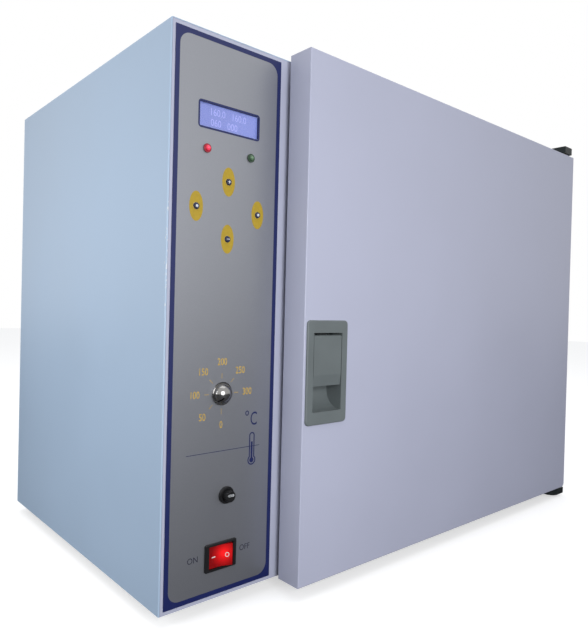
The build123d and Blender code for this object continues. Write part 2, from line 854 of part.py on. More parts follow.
# Display: a clear window behind the panel and the character module behind that
window_y = front_y + sheet
with BuildPart() as display_window:
    with BuildSketch(facing_front(window_y)):
        with Locations((panel_x, display_z)):
            Rectangle(display_width + 2 * window_margin, display_height + 2 * window_margin)
    extrude(amount=-window_thickness)
module_y = window_y + window_thickness
with BuildPart() as display_module:
    with BuildSketch(facing_front(module_y)):
        with Locations((panel_x, display_z)):
            Rectangle(display_width + 2 * window_margin, display_height + 2 * window_margin)
    extrude(amount=-display_depth)
    with BuildSketch(facing_front(module_y + display_depth)):
        with Locations((panel_x, display_z)):
            Rectangle(display_board_width, display_board_height)
    extrude(amount=-board_thickness)

# Indicator lamps: a domed lens with a flange ring on the overlay
lamps = {}
for label, lamp_x in lamp_places.items():
    with BuildPart() as lamp:
        with BuildSketch(turned_outward(lamp_x, overlay_y, lamp_z)):
            with BuildLine():
                Polyline(
                    (0, -lamp_length),
                    (lamp_radius, -lamp_length),
                    (lamp_radius, 0),
                    (lamp_flange_radius, 0),
                    (lamp_flange_radius, lamp_flange),
                    (lamp_radius, lamp_flange),
                )
                RadiusArc((lamp_radius, lamp_flange), (0, lamp_flange + lamp_radius), -lamp_radius)
                Line((0, lamp_flange + lamp_radius), (0, -lamp_length))
            make_face()
        revolve(axis=front_axis(lamp_x, lamp_z))
    lamps[label] = lamp

# Push buttons: a round cap with a flange that keeps it behind the panel
button_flange_y = front_y + sheet + button_rest_gap
buttons = {}
for label, (button_x, place_z) in button_places.items():
    with BuildPart() as button:
        with BuildSketch(facing_front(overlay_y - button_proud)):
            with Locations((button_x, place_z)):
                Circle(button_radius)
        extrude(amount=-(button_flange_y + button_stem - overlay_y + button_proud))
        fillet(button.faces().sort_by(Axis.Y)[0].edges(), button_edge)
        with BuildSketch(facing_front(button_flange_y)):
            with Locations((button_x, place_z)):
                Circle(button_flange_radius)
        extrude(amount=-button_flange)
    buttons[label] = button

# Button board: a circuit board with one key switch behind each button, on four posts
key_y = button_flange_y + button_stem + button_travel + button_rest_gap
button_board_y = key_y + switch_body_depth
with BuildPart() as button_board:
    with BuildSketch(facing_front(button_board_y)):
        with Locations((panel_x, button_z)):
            Rectangle(button_board_width, button_board_height)
    extrude(amount=-board_thickness)
    with BuildSketch(facing_front(key_y)):
        with Locations(*button_places.values()):
            Rectangle(switch_body_width, switch_body_width)
    extrude(amount=-switch_body_depth)
    with BuildSketch(facing_front(front_y + sheet)):
        with Locations((panel_x, button_z)):
            with GridLocations(
                button_board_width - 2 * standoff_inset, button_board_height - 2 * standoff_inset, 2, 2
            ):
                Circle(standoff_radius)
    extrude(amount=-(button_board_y - front_y - sheet))

# Safety thermostat: the body behind the panel, its threaded bush and its nut
thermostat_y = front_y + sheet
with BuildPart() as thermostat_body:
    with BuildSketch(facing_front(thermostat_y)):
        with Locations((dial_x, dial_z)):
            Rectangle(thermostat_width, thermostat_height)
    extrude(amount=-thermostat_depth)
    fillet(thermostat_body.edges().filter_by(Axis.Y), bend_radius)
    with BuildSketch(facing_front(overlay_y)):
        with Locations((dial_x, dial_z)):
            Circle(thermostat_bush_radius)
    extrude(amount=-(thermostat_y - overlay_y))
    with BuildSketch(facing_front(overlay_y)):
        with Locations((dial_x, dial_z)):
            Circle(dial_shaft_radius + dial_shaft_slip)
    extrude(amount=-(dial_shaft_length + dial_gap), mode=Mode.SUBTRACT)

# Thermostat dial: a chrome dome on a thin flange, with a pointer groove and a flatted shaft
dial_low_y = overlay_y - dial_gap
pointer_plane = Plane(
    origin=(dial_x, dial_low_y - dial_flange - dial_height, dial_z),
    x_dir=(-sin(radians(dial_rest_angle)), 0, -cos(radians(dial_rest_angle))),
    z_dir=(0, -1, 0),
)
with BuildPart() as thermostat_dial:
    with BuildSketch(turned_outward(dial_x, dial_low_y, dial_z)):
        with BuildLine():
            Polyline(
                (0, 0),
                (dial_flange_radius, 0),
                (dial_flange_radius, dial_flange),
                (dial_radius, dial_flange),
            )
            EllipticalCenterArc((0, dial_flange), dial_radius, dial_height, start_angle=0, arc_size=90)
            Line((0, dial_flange + dial_height), (0, 0))
        make_face()
    revolve(axis=front_axis(dial_x, dial_z))
    with BuildSketch(pointer_plane):
        with Locations((dial_notch_start + dial_radius / 2, 0)):
            Rectangle(dial_radius, dial_notch_width)
    extrude(amount=-(dial_height + dial_flange - dial_notch_depth), mode=Mode.SUBTRACT)
    with BuildSketch(facing_front(dial_low_y)):
        with Locations((dial_x, dial_z)):
            Circle(dial_shaft_radius)
            with Locations((0, dial_shaft_radius)):
                Rectangle(2 * dial_shaft_radius, 2 * dial_flat, mode=Mode.SUBTRACT)
    extrude(amount=-(dial_gap + dial_shaft_length))

# Fuse holder: a flanged tube through the panel, its turn-and-pull cap and the fuse in it
with BuildPart() as fuse_holder:
    with BuildSketch(turned_outward(fuse_x, overlay_y, fuse_z)):
        with BuildLine():
            Polyline(
                (fuse_bore, fuse_flange),
                (fuse_flange_radius - fuse_groove, fuse_flange),
                (fuse_flange_radius, fuse_flange - fuse_groove),
                (fuse_flange_radius, 0),
                (fuse_body_radius, 0),
                (fuse_body_radius, -fuse_body_length),
                (0, -fuse_body_length),
                (0, fuse_bore - fuse_body_radius - fuse_body_length + fuse_flange),
                (fuse_bore, fuse_bore - fuse_body_radius - fuse_body_length + fuse_flange),
                (fuse_bore, fuse_flange),
            )
        make_face()
    revolve(axis=front_axis(fuse_x, fuse_z))

fuse_front_y = overlay_y + fuse_cap_inside - fuse_hold
with BuildPart() as fuse_cap:
    with BuildSketch(facing_front(overlay_y + fuse_cap_inside)):
        with Locations((fuse_x, fuse_z)):
            Circle(fuse_cap_radius)
            Circle(fuse_radius + fuse_slip, mode=Mode.SUBTRACT)
    extrude(amount=fuse_hold)
    with BuildSketch(facing_front(fuse_front_y)):
        with Locations((fuse_x, fuse_z)):
            Circle(fuse_cap_radius)
    extrude(amount=fuse_front_y - overlay_y + fuse_cap_proud)
    chamfer(fuse_cap.faces().sort_by(Axis.Y)[0].edges(), fuse_groove)
    with BuildSketch(facing_front(overlay_y - fuse_cap_proud)):
        with Locations((fuse_x, fuse_z)):
            with PolarLocations(fuse_cap_radius, fuse_grooves):
                Circle(fuse_groove)
            Rectangle(fuse_cap_radius, fuse_groove)
    extrude(amount=-fuse_knurl, mode=Mode.SUBTRACT)

with BuildPart() as fuse_cartridge:
    with BuildSketch(facing_front(fuse_front_y)):
        with Locations((fuse_x, fuse_z)):
            Circle(fuse_radius)
    extrude(amount=-fuse_length)

# Power switch: a black housing with a bezel, and the rocker on its trunnions
rocker_y = overlay_y + rocker_pivot_depth
with BuildPart() as switch_housing:
    with BuildSketch(facing_front(overlay_y)):
        with Locations((panel_x, switch_z)):
            RectangleRounded(switch_width, switch_height, switch_corner)
    extrude(amount=switch_bezel)
    chamfer(switch_housing.faces().sort_by(Axis.Y)[0].edges(), switch_bezel_edge)
    with BuildSketch(facing_front(overlay_y)):
        with Locations((panel_x, switch_z)):
            Rectangle(switch_window_width + 2 * switch_body_wall, switch_window_height + 2 * switch_body_wall)
    extrude(amount=-switch_body_length)
    with BuildSketch(facing_front(overlay_y - switch_bezel)):
        with Locations((panel_x, switch_z)):
            Rectangle(switch_window_width, switch_window_height)
    extrude(amount=-(switch_bezel + rocker_pivot_depth + rocker_cavity), mode=Mode.SUBTRACT)
    with BuildSketch(Plane.XY.offset(switch_z)):
        with Locations((panel_x, rocker_y)):
            Circle(trunnion_radius + trunnion_slip)
    extrude(
        amount=switch_window_height / 2 + trunnion_reach + trunnion_slip,
        both=True,
        mode=Mode.SUBTRACT,
    )

rocker_plane = Plane(
    origin=(panel_x, rocker_y, switch_z - rocker_height / 2),
    x_dir=(cos(radians(rocker_tilt)), -sin(radians(rocker_tilt)), 0),
    z_dir=(0, 0, 1),
)
with BuildPart() as switch_rocker:
    with BuildSketch(rocker_plane):
        with BuildLine():
            Polyline(
                (-rocker_half, -rocker_rim),
                (0, -rocker_middle),
                (rocker_half, -rocker_rim),
                (rocker_half, -rocker_rim + rocker_middle),
                (rocker_back_half, rocker_back),
                (-rocker_back_half, rocker_back),
                (-rocker_half, -rocker_rim + rocker_middle),
                (-rocker_half, -rocker_rim),
            )
        make_face()
    extrude(amount=rocker_height)
    with BuildSketch(Plane.XY.offset(switch_z)):
        with Locations((panel_x, rocker_y)):
            Circle(trunnion_radius)
    extrude(amount=switch_window_height / 2 + trunnion_reach, both=True)

# Controller board on the compartment wall, on four posts, with its transformer and two relays
board_middle_y = rear_y - board_back_gap - board_width / 2
board_middle_z = under_z + board_rise + board_height / 2
board_face_x = wall_x - sheet - standoff
with BuildPart() as controller_board:
    with BuildSketch(Plane.YZ.offset(board_face_x)):
        with Locations((board_middle_y, board_middle_z)):
            Rectangle(board_width, board_height)
    extrude(amount=-board_thickness)
    with BuildSketch(Plane.YZ.offset(board_face_x)):
        with Locations((board_middle_y, board_middle_z)):
            with GridLocations(board_width - 2 * standoff_inset, board_height - 2 * standoff_inset, 2, 2):
                Circle(standoff_radius)
    extrude(amount=standoff)
    with BuildSketch(Plane.YZ.offset(board_face_x - board_thickness)):
        with Locations((board_middle_y + board_part_offset, board_middle_z)):
            Rectangle(transformer_size, transformer_size)
    extrude(amount=-transformer_depth)
    with BuildSketch(Plane.YZ.offset(board_face_x - board_thickness)):
        with Locations((board_middle_y - board_part_offset, board_middle_z)):
            with GridLocations(0, board_relay_pitch, 1, 2):
                Rectangle(board_relay_width, board_relay_height)
    extrude(amount=-board_relay_depth)

# Solid-state relay on the base pan
relay_z = under_z + sheet
with BuildPart() as power_relay:
    with BuildSketch(Plane.XY.offset(relay_z)):
        with Locations((inlet_x, front_y + cabinet_depth / 2)):
            Rectangle(relay_depth, relay_width)
    extrude(amount=relay_height)
    chamfer(power_relay.faces().sort_by(Axis.Z)[-1].edges(), bend_radius)

# Mains inlet in the rear panel: flange, body, socket and its three pins
inlet_z = under_z + inlet_rise
with BuildPart() as power_inlet:
    with BuildSketch(facing_front(rear_y)):
        with Locations((inlet_x, inlet_z)):
            RectangleRounded(inlet_flange_width, inlet_flange_height, inlet_corner)
            with GridLocations(inlet_screw_pitch, 0, 2, 1):
                Circle(small_screw_radius, mode=Mode.SUBTRACT)
    extrude(amount=-inlet_flange)
    with BuildSketch(facing_front(rear_y)):
        with Locations((inlet_x, inlet_z)):
            RectangleRounded(inlet_body_width, inlet_body_height, inlet_corner)
    extrude(amount=inlet_body_depth)
    with BuildSketch(facing_front(rear_y + inlet_flange)):
        with Locations((inlet_x, inlet_z)):
            Rectangle(inlet_socket_width, inlet_socket_height)
    extrude(amount=inlet_socket_depth + inlet_flange, mode=Mode.SUBTRACT)
    with BuildSketch(facing_front(rear_y - inlet_socket_depth)):
        with Locations((inlet_x, inlet_z)):
            with Locations((0, inlet_pin_offset)):
                Rectangle(inlet_pin_width, inlet_pin_height)
            with Locations((-inlet_pin_pitch, -inlet_pin_offset), (inlet_pin_pitch, -inlet_pin_offset)):
                Rectangle(inlet_pin_width, inlet_pin_height)
    extrude(amount=-inlet_pin_length)

# Rubber feet: four tapered pads with a recess for the screw head
with BuildPart() as rubber_feet:
    with Locations(*foot_places):
        Cone(
            foot_radius - foot_taper,
            foot_radius,
            foot_height,
            align=(Align.CENTER, Align.CENTER, Align.MIN),
        )
    with BuildSketch(Plane.XY):
        with Locations(*foot_places):
            Circle(foot_screw_head + foot_screw_slip)
    extrude(amount=foot_screw_recess, mode=Mode.SUBTRACT)
    with BuildSketch(Plane.XY):
        with Locations(*foot_places):
            Circle(foot_screw_radius)
    extrude(amount=foot_height, mode=Mode.SUBTRACT)

# Foot screws, each with its nut on the base pan
with BuildPart() as foot_screws:
    with BuildSketch(Plane.XY.offset(foot_screw_recess - foot_screw_head_height)):
        with Locations(*foot_places):
            Circle(foot_screw_head)
    extrude(amount=foot_screw_head_height)
    with BuildSketch(Plane.XY.offset(foot_screw_recess)):
        with Locations(*foot_places):
            Circle(foot_screw_radius)
    extrude(amount=foot_height + sheet + foot_nut + foot_screw_radius - foot_screw_recess)
    with BuildSketch(Plane.XY.offset(foot_height + sheet)):
        with Locations(*foot_places):
            RegularPolygon(foot_screw_head, 6)
    extrude(amount=foot_nut)

# Hinge brackets: an arm over the door on a seat that is screwed to the cabinet's top, and a plate
# with a rounded corner under the door and the cabinet
upper_arm_z = top_z + upper_lift
upper_front_y = pin_y - upper_hinge_nose
with BuildPart() as upper_hinge_bracket:
    with BuildSketch(Plane.XY.offset(upper_arm_z)):
        with Locations((pin_x, (upper_front_y + front_y + upper_hinge_seat) / 2)):
            Rectangle(upper_hinge_width, front_y + upper_hinge_seat - upper_front_y)
    extrude(amount=hinge_arm)
    with BuildSketch(Plane.XY.offset(top_z)):
        with Locations((pin_x, front_y + hinge_overhang + (upper_hinge_seat - hinge_overhang) / 2)):
            Rectangle(upper_hinge_width, upper_hinge_seat - hinge_overhang)
    extrude(amount=upper_lift)
    fillet(upper_hinge_bracket.edges().filter_by(Axis.Z).group_by(Axis.Y)[-1], bend_radius)
    chamfer(upper_hinge_bracket.faces().sort_by(Axis.Z)[-1].edges(), hinge_edge)
    with BuildSketch(Plane.XY.offset(upper_arm_z)):
        with Locations((pin_x, pin_y)):
            Circle(pin_radius)
    extrude(amount=hinge_arm, mode=Mode.SUBTRACT)
    with BuildSketch(Plane.XY.offset(top_z)):
        with Locations(*upper_screw_places):
            Circle(hinge_screw_radius)
    extrude(amount=upper_lift + hinge_arm, mode=Mode.SUBTRACT)
    with BuildSketch(Plane.XY.offset(upper_arm_z + hinge_arm - hinge_screw_sink)):
        with Locations(*upper_screw_places):
            Circle(hinge_screw_head)
    extrude(amount=hinge_screw_sink, mode=Mode.SUBTRACT)

lower_front_y = door_front_y + hinge_overhang
with BuildPart() as lower_hinge_bracket:
    with BuildSketch(Plane.XY.offset(under_z - lower_hinge_thickness)) as lower_plate:
        with Locations((right_x - lower_hinge_width / 2, (lower_front_y + front_y + lower_hinge_seat) / 2)):
            Rectangle(lower_hinge_width, front_y + lower_hinge_seat - lower_front_y)
        fillet(lower_plate.vertices().group_by(Axis.Y)[0].sort_by(Axis.X)[0], lower_hinge_round)
        fillet(lower_plate.vertices().group_by(Axis.Y)[-1], bend_radius)
    extrude(amount=lower_hinge_thickness)
    chamfer(lower_hinge_bracket.faces().sort_by(Axis.Z)[0].edges(), hinge_edge)
    with BuildSketch(Plane.XY.offset(under_z - lower_hinge_thickness)):
        with Locations((pin_x, pin_y)):
            Circle(pin_radius)
        with Locations(*lower_screw_places):
            Circle(hinge_screw_radius)
    extrude(amount=lower_hinge_thickness, mode=Mode.SUBTRACT)
    with BuildSketch(Plane.XY.offset(under_z - lower_hinge_thickness)):
        with Locations(*lower_screw_places):
            Circle(hinge_screw_head)
    extrude(amount=hinge_screw_sink, mode=Mode.SUBTRACT)

# Hinge pins, fixed in the brackets
door_high_z = door_low_z + door_height
with BuildPart() as upper_hinge_pin:
    with BuildSketch(Plane.XY.offset(door_high_z - pin_depth)):
        with Locations((pin_x, pin_y)):
            Circle(pin_radius)
    extrude(amount=upper_arm_z + hinge_arm - door_high_z + pin_depth)
    chamfer(upper_hinge_pin.faces().sort_by(Axis.Z)[0].edges(), hinge_edge)

with BuildPart() as lower_hinge_pin:
    with BuildSketch(Plane.XY.offset(under_z - lower_hinge_thickness)):
        with Locations((pin_x, pin_y)):
            Circle(pin_radius)
    extrude(amount=door_low_z + pin_depth - under_z + lower_hinge_thickness)
    chamfer(lower_hinge_pin.faces().sort_by(Axis.Z)[-1].edges(), hinge_edge)

# Hinge screws: two in each bracket, through the cabinet's sheets
with BuildPart() as hinge_screws:
    with BuildSketch(Plane.XY.offset(upper_arm_z + hinge_arm - hinge_screw_sink)):
        with Locations(*upper_screw_places):
            Circle(hinge_screw_head - hinge_screw_slip)
    extrude(amount=hinge_screw_sink)
    with BuildSketch(Plane.XY.offset(top_z - sheet - hinge_screw_end)):
        with Locations(*upper_screw_places):
            Circle(hinge_screw_radius)
    extrude(amount=upper_arm_z + hinge_arm - hinge_screw_sink - top_z + sheet + hinge_screw_end)
    with BuildSketch(Plane.XY.offset(under_z - lower_hinge_thickness)):
        with Locations(*lower_screw_places):
            Circle(hinge_screw_head - hinge_screw_slip)
    extrude(amount=hinge_screw_sink)
    with BuildSketch(Plane.XY.offset(under_z - lower_hinge_thickness + hinge_screw_sink)):
        with Locations(*lower_screw_places):
            Circle(hinge_screw_radius)
    extrude(amount=lower_hinge_thickness - hinge_screw_sink + sheet + hinge_screw_end)

# Hinge bushes in the door's top and bottom edges, and the blocks that back them
bushes = {}
blocks = {}
for end, label in ((1, "upper"), (-1, "lower")):
    edge_z = door_middle_z + end * door_height / 2
    with BuildPart() as bush:
        with BuildSketch(Plane.XY.offset(edge_z)):
            with Locations((pin_x, pin_y)):
                Circle(bush_radius)
        extrude(amount=-end * bush_length)
        with BuildSketch(Plane.XY.offset(edge_z)):
            with Locations((pin_x, pin_y)):
                Circle(bush_flange_radius)
        extrude(amount=end * bush_flange)
        with BuildSketch(Plane.XY.offset(edge_z + end * bush_flange)):
            with Locations((pin_x, pin_y)):
                Circle(pin_radius + pin_slip)
        extrude(amount=-end * (bush_length + bush_flange), mode=Mode.SUBTRACT)
    bushes[label + "_hinge_bush"] = bush
    with BuildPart() as block:
        with BuildSketch(Plane.XY.offset(edge_z - end * sheet)):
            with Locations((right_x - door_corner - block_width / 2, pin_y)):
                Rectangle(block_width, block_depth)
            with Locations((pin_x, pin_y)):
                Circle(bush_radius, mode=Mode.SUBTRACT)
        extrude(amount=-end * block_height)
    blocks[label + "_hinge_block"] = block

# Door outer panel: a folded pan with returns at its back and a cut-out for the latch housing
pan_depth = door_thickness - stainless
latch_box_width = latch_width - 2 * latch_box_inset
latch_box_height = latch_height - 2 * latch_box_inset
with BuildPart() as door_outer_panel:
    with BuildSketch(facing_front(door_front_y)) as door_face:
        with Locations((door_middle_x, door_middle_z)):
            Rectangle(door_width, door_height)
        fillet(door_face.vertices().group_by(Axis.X)[-1].sort_by(Axis.Y)[0], door_corner)
    extrude(amount=-pan_depth)
    fillet(door_outer_panel.faces().sort_by(Axis.Y)[0].edges(), door_edge)
    with BuildSketch(facing_front(door_front_y + sheet)) as door_hollow:
        with Locations((door_middle_x, door_middle_z)):
            Rectangle(door_width - 2 * sheet, door_height - 2 * sheet)
        fillet(door_hollow.vertices().group_by(Axis.X)[-1].sort_by(Axis.Y)[0], door_corner - sheet)
    extrude(amount=-(pan_depth - 2 * sheet), mode=Mode.SUBTRACT)
    with BuildSketch(facing_front(door_front_y + sheet)):
        with Locations((door_middle_x, door_middle_z)):
            Rectangle(door_width - 2 * door_return, door_height - 2 * door_return)
    extrude(amount=-pan_depth, mode=Mode.SUBTRACT)
    with BuildSketch(facing_front(door_front_y)):
        with Locations((latch_x, latch_z)):
            Rectangle(latch_box_width, latch_box_height)
    extrude(amount=-sheet, mode=Mode.SUBTRACT)
    with BuildSketch(facing_front(door_back_y)):
        with Locations(*door_screw_places):
            Circle(small_screw_radius)
    extrude(amount=stainless + sheet, mode=Mode.SUBTRACT)
    with BuildSketch(Plane.XY.offset(door_low_z)):
        with Locations((pin_x, pin_y)):
            Circle(bush_radius)
    extrude(amount=door_height, mode=Mode.SUBTRACT)

# Door inner panel: a stainless sheet with a raised boss that closes the chamber's mouth
boss_width = chamber_width - 2 * boss_margin
boss_tall = chamber_height - 2 * boss_margin
with BuildPart() as door_inner_panel:
    with BuildSketch(facing_front(door_back_y)):
        with Locations((door_middle_x, door_middle_z)):
            RectangleRounded(
                door_width - 2 * inner_panel_margin, door_height - 2 * inner_panel_margin, bend_radius
            )
        with Locations(*door_screw_places):
            Circle(small_screw_radius, mode=Mode.SUBTRACT)
    extrude(amount=stainless)
    with BuildSketch(facing_front(door_back_y)):
        with Locations((chamber_x, chamber_middle_z)):
            RectangleRounded(boss_width, boss_tall, boss_corner)
    extrude(amount=-(door_gap + boss_height), taper=boss_taper)
    with BuildSketch(facing_front(door_back_y - stainless)):
        with Locations((chamber_x, chamber_middle_z)):
            RectangleRounded(boss_width - 2 * stainless, boss_tall - 2 * stainless, boss_corner - stainless)
    extrude(amount=-(door_gap + boss_height), taper=boss_taper, mode=Mode.SUBTRACT)
    with BuildSketch(facing_front(door_back_y)):
        with Locations((latch_x, slot_middle_z)):
            Rectangle(2 * slot_half_x, slot_height)
    extrude(amount=stainless, mode=Mode.SUBTRACT)

# Door insulation: a slab in the pan, cut round the latch and the hinge blocks
slab_front_y = door_front_y + sheet + slab_slip
slab_back_y = door_back_y - stainless - sheet - slab_slip
with BuildPart() as door_insulation:
    with BuildSketch(facing_front(slab_front_y)):
        with Locations((door_middle_x, door_middle_z)):
            Rectangle(door_width - 2 * door_return, door_height - 2 * door_return)
        with Locations((latch_x, latch_z)):
            Rectangle(latch_width, latch_height, mode=Mode.SUBTRACT)
        for end in (-1, 1):
            with Locations((right_x - door_corner - block_width / 2, door_middle_z + end * door_height / 2)):
                Rectangle(
                    block_width + 2 * block_slip, 2 * (block_height + sheet + block_slip), mode=Mode.SUBTRACT
                )
    extrude(amount=-(slab_back_y - slab_front_y))

# Door gasket: a silicone ring on the inner panel that meets the liner's flange
gasket_depth = door_gap - stainless - gasket_gap
with BuildPart() as door_gasket:
    with BuildSketch(facing_front(door_back_y)):
        with Locations((chamber_x, chamber_middle_z)):
            RectangleRounded(
                chamber_width + 2 * (gasket_inset + gasket_width),
                chamber_height + 2 * (gasket_inset + gasket_width),
                chamber_corner + gasket_inset + gasket_width,
            )
            RectangleRounded(
                chamber_width + 2 * gasket_inset,
                chamber_height + 2 * gasket_inset,
                chamber_corner + gasket_inset,
                mode=Mode.SUBTRACT,
            )
    extrude(amount=-gasket_depth)
    fillet(door_gasket.faces().sort_by(Axis.Y)[-1].edges(), gasket_round)

# Door screws round the inner panel
with BuildPart() as door_screws:
    with BuildSketch(facing_front(door_back_y + small_screw_head_height)):
        with Locations(*door_screw_places):
            Circle(small_screw_head)
    extrude(amount=small_screw_head_height)
    fillet(door_screws.faces().group_by(Axis.Y)[-1].edges(), small_screw_edge)
    with BuildSketch(facing_front(door_back_y)):
        with Locations(*door_screw_places):
            Circle(small_screw_radius)
    extrude(amount=small_screw_length)

# Rear screws round the rear panel and in the inlet's flange
with BuildPart() as rear_screws:
    with BuildSketch(facing_front(rear_y + small_screw_head_height)):
        with Locations(*rear_screw_places):
            Circle(small_screw_head)
    extrude(amount=small_screw_head_height)
    with BuildSketch(facing_front(rear_y + inlet_flange + small_screw_head_height)):
        with Locations(*[(inlet_x + side * inlet_screw_pitch / 2, inlet_z) for side in (-1, 1)]):
            Circle(small_screw_head)
    extrude(amount=small_screw_head_height)
    for heads in rear_screws.faces().filter_by(Axis.Y).group_by(Axis.Y)[-2:]:
        fillet(heads.edges(), small_screw_edge)
    with BuildSketch(facing_front(rear_y)):
        with Locations(*rear_screw_places):
            Circle(small_screw_radius)
    extrude(amount=small_screw_length)
    with BuildSketch(facing_front(rear_y + inlet_flange)):
        with Locations(*[(inlet_x + side * inlet_screw_pitch / 2, inlet_z) for side in (-1, 1)]):
            Circle(small_screw_radius)
    extrude(amount=small_screw_length + inlet_flange)

# Latch housing: a moulded escutcheon with a box behind it, open to the front for the flap and for
# the fingers under it, with a curved scoop, and slotted at its back for the hook
flap_half = flap_width / 2
pocket_half = flap_half + flap_slip
pocket_high_z = under_z + flap_top + flap_slip
pocket_low_z = under_z + recess_base
pocket_back_y = latch_box_back_y - latch_wall
plate_front_y = door_front_y - latch_plate
scoop_z = pocket_low_z + (pocket_back_y - door_front_y)
with BuildPart() as latch_housing:
    with BuildSketch(facing_front(door_front_y)):
        with Locations((latch_x, latch_z)):
            RectangleRounded(latch_width, latch_height, latch_corner)
    extrude(amount=latch_plate)
    fillet(latch_housing.faces().sort_by(Axis.Y)[0].edges(), latch_plate_edge)
    with BuildSketch(facing_front(door_front_y)):
        with Locations((latch_x, latch_z)):
            Rectangle(latch_box_width, latch_box_height)
    extrude(amount=-latch_box_depth)
    with BuildSketch(Plane.YZ.offset(latch_x - pocket_half)):
        with BuildLine():
            Polyline(
                (pocket_back_y, scoop_z),
                (pocket_back_y, pocket_high_z),
                (plate_front_y, pocket_high_z),
                (plate_front_y, pocket_low_z),
                (door_front_y, pocket_low_z),
            )
            RadiusArc((door_front_y, pocket_low_z), (pocket_back_y, scoop_z), door_front_y - pocket_back_y)
        make_face()
    extrude(amount=2 * pocket_half, mode=Mode.SUBTRACT)
    with BuildSketch(facing_front(pocket_back_y)):
        with Locations((latch_x, (slot_low_z + pocket_high_z) / 2)):
            Rectangle(2 * slot_half_x, pocket_high_z - slot_low_z)
    extrude(amount=-latch_wall, mode=Mode.SUBTRACT)
    with BuildSketch(Plane.YZ.offset(latch_x)):
        with Locations((latch_pin_y, latch_pin_z)):
            Circle(latch_pin_radius)
    extrude(amount=pocket_half + latch_wall, both=True, mode=Mode.SUBTRACT)

# Latch pin across the housing
with BuildPart() as latch_pin:
    with BuildSketch(Plane.YZ.offset(latch_x)):
        with Locations((latch_pin_y, latch_pin_z)):
            Circle(latch_pin_radius)
    extrude(amount=pocket_half + latch_wall, both=True)

# Latch flap: a moulded plate with a thicker finger edge, hung on two barrels at its top
flap_front_y = door_front_y - flap_proud
flap_back_y = flap_front_y + flap_plate
flap_low_z = under_z + flap_base
hook_half = hook_width / 2
coil_pitch = spring_wire + spring_gap
coil_start = hook_half + spring_slip + spring_wire / 2
spring_half = coil_start + coil_pitch * spring_turns + spring_wire + spring_margin
with BuildPart() as latch_flap:
    with BuildSketch(Plane.YZ.offset(latch_x - flap_half)):
        with BuildLine():
            Polyline(
                (latch_pin_y, latch_pin_z + barrel_radius),
                (flap_front_y + flap_edge, latch_pin_z + flap_rise + flap_edge),
                (flap_front_y, latch_pin_z + flap_rise),
                (flap_front_y, flap_low_z + flap_lip),
                (flap_front_y + flap_kick, flap_low_z),
                (flap_back_y + flap_kick, flap_low_z),
                (flap_back_y, flap_low_z + flap_lip),
                (flap_back_y, latch_pin_z - barrel_radius),
                (latch_pin_y, latch_pin_z - barrel_radius),
            )
            RadiusArc(
                (latch_pin_y, latch_pin_z - barrel_radius),
                (latch_pin_y, latch_pin_z + barrel_radius),
                -barrel_radius,
            )
        make_face()
    extrude(amount=flap_width)
    with BuildSketch(Plane.YZ.offset(latch_x)):
        with Locations((latch_pin_y, latch_pin_z)):
            Circle(latch_pin_radius + latch_pin_slip)
    extrude(amount=flap_half, both=True, mode=Mode.SUBTRACT)
    with BuildSketch(Plane.YZ.offset(latch_x)):
        with Locations((flap_back_y + barrel_radius, latch_pin_z)):
            Rectangle(2 * barrel_radius, 2 * flap_relief)
    extrude(amount=spring_half, both=True, mode=Mode.SUBTRACT)

# Latch hook: a steel arm with an eye on the pin, a tab against the flap's back and a raised nose
with BuildPart() as latch_hook:
    with BuildSketch(Plane.YZ.offset(latch_x - hook_half)):
        with Locations((latch_pin_y, latch_pin_z)):
            Circle(barrel_radius - hook_slip)
        with Locations(((latch_pin_y + hook_tip_y) / 2, latch_pin_z)):
            Rectangle(hook_length, hook_plate)
        with Locations((hook_tip_y - hook_nose_length / 2, latch_pin_z + hook_plate / 2 + hook_nose / 2)):
            Rectangle(hook_nose_length, hook_nose)
        with Locations(
            ((flap_back_y + latch_pin_y + barrel_radius - hook_slip) / 2, latch_pin_z - hook_tab / 2)
        ):
            Rectangle(latch_pin_y + barrel_radius - hook_slip - flap_back_y, hook_tab)
    extrude(amount=hook_width)
    nose_edge = latch_hook.edges().filter_by(Axis.X).group_by(Axis.Z)[-1].sort_by(Axis.Y)[-1]
    chamfer(nose_edge, hook_nose_edge)
    with BuildSketch(Plane.YZ.offset(latch_x)):
        with Locations((latch_pin_y, latch_pin_z)):
            Circle(latch_pin_radius + latch_pin_slip)
    extrude(amount=hook_half, both=True, mode=Mode.SUBTRACT)

# Latch spring: a coil on the pin beside the hook
coil_radius = latch_pin_radius + spring_slip + spring_wire / 2
with BuildPart() as latch_spring:
    with BuildLine() as coil:
        Helix(
            pitch=coil_pitch,
            height=coil_pitch * spring_turns,
            radius=coil_radius,
            center=(latch_x + coil_start, latch_pin_y, latch_pin_z),
            direction=(1, 0, 0),
        )
    with BuildSketch(Plane(origin=coil.line @ 0, z_dir=coil.line % 0)):
        Circle(spring_wire / 2)
    sweep(is_frenet=True)

# Latch keeper: a plate behind the front frame whose lip stands just over the hook's nose
keeper_lip_z = nose_top_z + keeper_gap
with BuildPart() as latch_keeper:
    with BuildSketch(facing_front(front_y + sheet)):
        with Locations((latch_x, slot_middle_z)):
            Rectangle(2 * (slot_half_x + keeper_margin), slot_height + 2 * keeper_margin)
            Rectangle(2 * slot_half_x, slot_height, mode=Mode.SUBTRACT)
    extrude(amount=-keeper_plate)
    with BuildSketch(facing_front(front_y + sheet)):
        with Locations((latch_x, (keeper_lip_z + slot_high_z) / 2)):
            Rectangle(2 * slot_half_x, slot_high_z - keeper_lip_z)
    extrude(amount=-keeper_plate)

